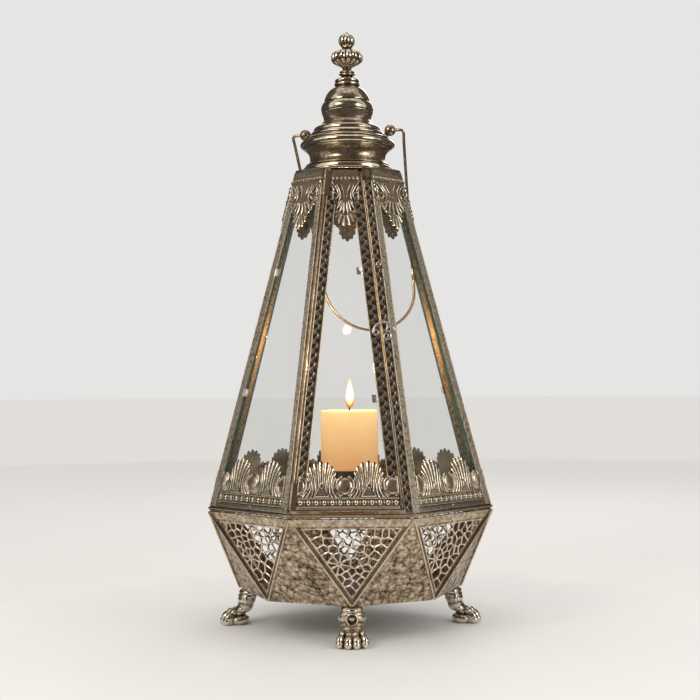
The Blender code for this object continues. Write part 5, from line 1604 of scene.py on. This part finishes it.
@dataclass
class DoorFittings:
    """Hook latch and its rivet, the scroll it drops over, and the knob."""

    finishes: Finishes
    latch_v: float = 177.5 * MM
    door_right: float = 9.4 * MM
    from_stile: float = 5.3 * MM
    curl_r: float = 2.6 * MM
    reach: float = 21.0 * MM
    rise: float = 9.9 * MM
    from_corner: float = 4.2 * MM
    knob_v: float = 246.5 * MM

    def build(self) -> None:
        """Makes the fittings."""
        self.hook()
        self.scroll()
        self.studs()

    def latch_place(self) -> tuple[float, float]:
        """Where the hook's rivet stands: along the face and up its slope."""
        return float(SHAPE.half_width(self.latch_v)) - self.door_right - self.from_stile, self.latch_v

    def hook(self) -> None:
        """Hook: a bar that curls under the rivet and arches over to a drop-shaped tip."""
        x, v = self.latch_place()
        turn = np.linspace(radians(20), radians(-165), 16)
        curl = np.stack((x + self.curl_r * np.cos(turn), v + self.curl_r * np.sin(turn)), axis=1)
        half = self.reach / 2
        angle = np.linspace(0.12, pi * 14 / 14.6, 30)
        arch = np.stack((x - self.curl_r + half - half * np.cos(angle), v + self.rise * np.sin(angle)), axis=1)
        line = np.vstack((curl, arch))
        share = np.linspace(0, 1, len(line))
        radius = (0.85 + 0.25 * np.sin(pi * share) + 0.35 * np.exp(-((share - 0.965) / 0.03) ** 2)) * MM
        depth = -(1.75 + 1.35 * np.clip((share - 0.35) / 0.35, 0, 1)) * MM
        made = MeshMaker()
        made.tube(SHAPE.on_face(0, line[:, 0], line[:, 1], depth), radius, 12)
        piece = made.finish("latch_hook", self.finishes.clip, Body.LATCH, 60.0)
        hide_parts("door_latch")

    def scroll(self) -> None:
        """Scroll on the leg beside the door: a bar that winds in and thins, and a leaf above it."""
        x, v = float(SHAPE.half_width(self.latch_v)) - self.from_corner, self.latch_v - 3.5 * MM
        share = np.linspace(0, 1, 60)
        turn, reach = radians(95) - radians(520) * share, (5.1 - 4.1 * share ** 0.9) * MM
        made = MeshMaker()
        place = SHAPE.on_face(0, x + reach * np.cos(turn), v + reach * np.sin(turn), -1.0 * MM)
        made.tube(place, (0.95 - 0.3 * share) * MM, 10)
        stem = np.linspace(0, 1, 24)
        leaf_x, leaf_v = x - 0.6 * MM + 1.4 * MM * np.sin(pi * stem), v + 5.0 * MM + 9.5 * MM * stem
        made.tube(SHAPE.on_face(0, leaf_x, leaf_v, -0.75 * MM), (0.35 + 0.75 * np.sin(pi * stem ** 0.7)) * MM, 10)
        piece = made.finish("catch_scroll_bar", self.finishes.clip, Body.LANTERN, 60.0)
        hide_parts("catch_scroll")

    def studs(self) -> None:
        """Rivet of the hook and knob of the leg: turned lines set square to the face."""
        stem = spline(((0.02, 0.3), (1.1, 0.3), (1.1, 2.6), (2.4, 2.8), (2.5, 3.2), (2.0, 3.9), (1.0, 4.2),
                       (0.02, 4.25)), 40)
        knob = spline(((0.02, 0.3), (2.3, 0.3), (2.4, 0.8), (1.6, 1.2), (1.6, 1.6), (2.7, 2.1), (3.0, 2.9),
                       (2.5, 3.9), (1.4, 4.5), (0.02, 4.6)), 50)
        knob_place = (float(SHAPE.half_width(self.knob_v)) - self.from_corner, self.knob_v)
        places = (("hook_rivet", "latch_rivet", Body.DOOR, stem, self.latch_place()),
                  ("leg_knob", "post_knob", Body.LANTERN, knob, knob_place))
        for name, node, body, profile, (x, v) in places:
            centre = SHAPE.on_face(0, np.array(x), np.array(v), 0.0)
            place = Matrix.Translation(Vector(centre)) @ Matrix.Rotation(pi / 2 - SHAPE.slant, 4, "X")
            made = MeshMaker()
            made.turned(profile * MM, 32, place)
            piece = made.finish(name, self.finishes.polished, body, 50.0)
            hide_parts(node)


@dataclass
class EdgeWork:
    """Thin bright edges of the legs and the door, the panes' clips and cut edges, and small screws."""

    finishes: Finishes
    bead_r: float = 0.42 * MM
    leg_width: float = 8.1 * MM
    tab_half: float = 3.8 * MM
    tab_lap: float = 1.6 * MM
    tab_wall: float = 0.4 * MM

    def build(self) -> None:
        """Makes the edges, clips and screws."""
        self.leg_edges()
        self.door_edges()
        self.clips()
        self.pane_edges()
        self.screws()

    def leg_edges(self) -> None:
        """Rolled edges of the legs: a thin bar up each corner and up each leg's two inner edges."""
        made = MeshMaker()
        v = np.linspace(3.0 * MM, 349.0 * MM, 24)
        half = SHAPE.half_width(v)
        inner = half - self.leg_width
        for k in range(SIDES - 1):
            made.tube(SHAPE.on_face(k, half - 0.1 * MM, v, 0.15 * MM), self.bead_r, 8)
            made.tube(SHAPE.on_face(k + 1, -inner, v, 0.05 * MM), self.bead_r * 0.8, 8)
            made.tube(SHAPE.on_face(k, inner, v, 0.05 * MM), self.bead_r * 0.8, 8)
        made.tube(SHAPE.on_face(SIDES - 1, half - 3.9 * MM, v, 0.1 * MM), self.bead_r, 8)
        piece = made.finish("leg_edges", self.finishes.polished, Body.LANTERN, 60.0)

    def door_edges(self) -> None:
        """Rolled edges of the door frame, outside and round its pane."""
        made = MeshMaker()
        for left, right, low, high in ((3.9, 9.8, 4.9, 345.6), (12.8, 20.4, 16.9, 333.6)):
            v = np.concatenate((np.linspace(low, high, 24), np.linspace(high, low, 24))) * MM
            side = np.repeat((-1.0, 1.0), 24)
            inset = np.where(side < 0, left, right) * MM
            made.tube(SHAPE.on_face(0, side * (SHAPE.half_width(v) - inset), v, 0.0), self.bead_r * 0.9, 8, True)
        piece = made.finish("door_edges", self.finishes.polished, Body.DOOR, 60.0)

    def clips(self) -> None:
        """Bent tabs that hold the panes: a short strip that lies on the metal's edge and turns onto the glass."""
        bend = np.array(((0.0, 0.2), (1.6, 0.15), (2.4, -0.15), (2.9, -0.8), (3.2, -1.15), (7.2, -1.2)))
        line = spline(bend, 16) * MM
        fixed = [(k, -1, v_at, 8.0) for k in range(2, SIDES) for v_at in (118.0, 243.0)]
        door = [(0, 1, v_at, 20.4) for v_at in (112.0, 241.0)]
        for name, body, places in (("glass_clips", Body.LANTERN, fixed), ("door_clips", Body.DOOR, door)):
            made = MeshMaker()
            for k, side, v_at, inset in places:
                v = v_at * MM + np.linspace(-self.tab_half, self.tab_half, 6)[:, None]
                edge = SHAPE.half_width(v) - inset * MM
                x = side * (edge + self.tab_lap - line[None, :, 0])
                height = line[None, :, 1] + 0 * x
                made.slab(SHAPE.on_face(k, x, v, -height - self.tab_wall), SHAPE.on_face(k, x, v, -height))
            piece = made.finish(name, self.finishes.clip, body, 50.0)

    def pane_edges(self) -> None:
        """Cut edges of the fixed panes, green where they show beside the metal."""
        made = MeshMaker()
        v = np.linspace(20 * MM, 332 * MM, 24)
        for k in range(1, SIDES):
            for side in (-1, 1):
                inset = (10.7 if k == SIDES - 1 and side > 0 else 8.9) * MM
                made.tube(SHAPE.on_face(k, side * (SHAPE.half_width(v) - inset), v, 1.9 * MM), 0.8 * MM, 8)
        piece = made.finish("pane_edges", self.finishes.glass_edge, Body.LANTERN, 60.0)

    def screws(self) -> None:
        """Small round heads, one on the plain band of each fixed side."""
        made = MeshMaker()
        for k in range(1, SIDES):
            strip = FaceStrip(k, inset(-1, 0.0), inset(1, 0.0), 0.0, 1.2 * MM, Body.LANTERN)
            strip.stud(made, (0.5 * MM, 5.4 * MM, 1.0 * MM), (1.3, 1.3, 0.7), 5)
        piece = made.finish("band_screws", self.finishes.polished, Body.LANTERN, 50.0)


@dataclass
class Studio:
    """Pale floor and surroundings, soft lamps, and the camera at the photograph's place."""

    floor_colour: Colour = (0.78, 0.77, 0.755)
    floor_reach: float = 14.0
    sky: Colour = (0.79, 0.785, 0.775)
    daylight: Colour = (1.0, 0.985, 0.96)
    daylight_strength: float = 0.95
    middle: Triple = (0.0, 0.0, 0.28)
    glow_at: Triple = (0.0, 0.0, 0.262)
    camera_at: Triple = (-0.0146, -1.3095, 0.2552)
    pan: float = radians(-0.639)
    tilt: float = radians(91.219)
    roll: float = radians(-0.388)

    def build(self) -> None:
        """Makes the floor, the world, the lamps and the camera."""
        self.floor()
        self.world()
        for name, start, end in (("flag_front", -52, 52), ("flag_left", -168, -88), ("flag_right", 88, 168)):
            self.flag(name, (start, end), (2.6, 2.6), (0.02, 4.6))
        self.flag("flag_floor", (-180, 180), (0.42, 2.6), (0.003, 0.003))
        self.lamp("key", (-0.95, -1.1, 1.1), 0.62, 6.0, (1.0, 0.95, 0.88))
        self.lamp("fill", (1.15, -0.95, 0.7), 0.62, 4.2, (1.0, 0.97, 0.94))
        self.lamp("back", (0.4, 1.3, 1.1), 0.6, 2.4, (1.0, 0.96, 0.92))
        self.glow()
        self.camera()

    def floor(self) -> None:
        """A wide pale floor."""
        reach = self.floor_reach
        mesh = bpy.data.meshes.new("studio_floor")
        mesh.from_pydata([(-reach, -reach, 0), (reach, -reach, 0), (reach, reach, 0), (-reach, reach, 0)], [],
                         [(0, 1, 2, 3)])
        graph = Graph("pale_floor")
        cloud = graph.noise(0.35, 2.0)
        paler = tuple(channel + 0.03 for channel in self.floor_colour)
        graph.fill(graph.shader, {
            "Base Color": graph.ramp(cloud, (0.0, self.floor_colour), (1.0, paler)),
            "Roughness": 0.75, "Specular IOR Level": 0.2,
        })
        mesh.materials.append(graph.material)
        floor = place_object("studio_floor", mesh)

    def flag(self, name: str, arc: tuple[float, float], reach: tuple[float, float],
             level: tuple[float, float]) -> None:
        """A dark cloth in an arc round the lantern, seen only in polished metal.

        Args:
            name: Name of the cloth.
            arc: Where the arc starts and ends, in degrees from the front.
            reach: Distance from the lantern of its first edge and of its last.
            level: Heights of the two edges.
        """
        angle = np.radians(np.linspace(*arc, 33))[None, :] - pi / 2
        radius = np.linspace(*reach, 3)[:, None]
        height = np.linspace(*level, 3)[:, None]
        made = MeshMaker()
        made.grid(np.stack((radius * np.cos(angle), radius * np.sin(angle), height + 0 * angle), axis=-1))
        mesh = made.raw_mesh(name)
        graph = Graph(name)
        weave = graph.noise(0.05, 2.0)
        dark = graph.ramp(weave, (0.0, (0.03, 0.026, 0.022)), (1.0, (0.06, 0.05, 0.045)))
        graph.fill(graph.shader, {"Base Color": dark, "Roughness": 0.9})
        mesh.materials.append(graph.material)
        cloth = place_object(name, mesh)
        cloth.visible_camera = cloth.visible_diffuse = cloth.visible_shadow = cloth.visible_transmission = False

    def world(self) -> None:
        """Pale surroundings for what the camera, metal and glass see, and a plain soft light from them."""
        world = bpy.data.worlds.new("studio_world")
        bpy.context.scene.world = world
        world.use_nodes = True
        tree = world.node_tree
        light = tree.nodes["Background"]
        light.inputs["Color"].default_value = (*self.daylight, 1.0)
        light.inputs["Strength"].default_value = self.daylight_strength
        seen = tree.nodes.new("ShaderNodeBackground")
        seen.inputs["Color"].default_value = (*self.sky, 1.0)
        path = tree.nodes.new("ShaderNodeLightPath")
        either = path.outputs["Is Camera Ray"]
        for name in ("Is Glossy Ray", "Is Transmission Ray"):
            most = tree.nodes.new("ShaderNodeMath")
            most.operation = "MAXIMUM"
            tree.links.new(either, most.inputs[0])
            tree.links.new(path.outputs[name], most.inputs[1])
            either = most.outputs[0]
        mix = tree.nodes.new("ShaderNodeMixShader")
        tree.links.new(either, mix.inputs[0])
        tree.links.new(light.outputs[0], mix.inputs[1])
        tree.links.new(seen.outputs[0], mix.inputs[2])
        tree.links.new(mix.outputs[0], tree.nodes["World Output"].inputs[0])

    def lamp(self, name: str, place: Triple, size: float, power: float, colour: Colour) -> None:
        """Adds a square soft lamp that looks at the middle of the lantern.

        Args:
            name: Name of the lamp.
            place: Its place.
            size: Length of its side.
            power: Its power in watts.
            colour: Colour of its light.
        """
        data = bpy.data.lights.new(name, "AREA")
        data.size, data.energy, data.color = size, power, colour
        lamp = place_object(name, data)
        lamp.location = place
        lamp.rotation_euler = (Vector(self.middle) - Vector(place)).to_track_quat("-Z", "Y").to_euler()

    def glow(self) -> None:
        """Warm light of the flame."""
        data = bpy.data.lights.new("flame_glow", "POINT")
        data.energy, data.color, data.shadow_soft_size = 0.4, (1.0, 0.55, 0.2), 5 * MM
        place_object("flame_glow", data).location = self.glow_at

    def camera(self) -> None:
        """Camera at the photograph's place: slightly above the candle, turned and rolled a little."""
        data = bpy.data.cameras.new("photo_camera")
        data.lens, data.sensor_width, data.shift_x = 64.49, 36.0, 0.00163
        data.clip_start, data.clip_end = 0.02, 60.0
        camera = place_object("photo_camera", data)
        turn = (Matrix.Rotation(self.pan, 4, "Z") @ Matrix.Rotation(self.tilt, 4, "X")
                @ Matrix.Rotation(self.roll, 4, "Z"))
        camera.matrix_world = Matrix.Translation(self.camera_at) @ turn
        bpy.context.scene.camera = camera


PARTS: tuple[type, ...] = (PiercedBase, LionPaw, PalmetteStrip, CrownTrim, VineStrips, DoorFittings, EdgeWork,
                           Head, CandleSet)


def dress_frame(frame: dict, finishes: Finishes) -> None:
    """Gives every node that stays in sight its finish.

    Args:
        finishes: The lantern's materials.
    """
    plain = {"base_shell": finishes.hammered, "bottom_plate": finishes.dull, "candle_bridge": finishes.dull,
             "candle_dish": finishes.dull, "door_frame": finishes.sheet, "hinge_rod": finishes.polished,
             "candle": finishes.wax, "candle_wick": finishes.char}
    for name, node in frame["nodes"].items():
        if name in plain:
            material = plain[name]
        elif "glass" in name:
            material = finishes.glass
        elif name.startswith(("corner_post", "foot")):
            material = finishes.sheet
        elif name.startswith(("lower_frieze", "crown_band", "door_lower", "door_upper")):
            material = finishes.stamped
        else:
            material = finishes.polished
        for slot in node.material_slots:
            slot.material = material


def main() -> None:
    """Builds the lantern's looks over the frame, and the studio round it."""
    logging.basicConfig(level=logging.INFO, format="%(name)s: %(message)s")
    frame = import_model()
    bpy.context.scene.view_settings.view_transform = "Standard"
    finishes = Finishes()
    dress_frame(frame, finishes)
    for part in PARTS:
        part(finishes).build()
        LOG.info("%s done", part.__name__)
    Studio().build()


if __name__ == "__main__":
    main()
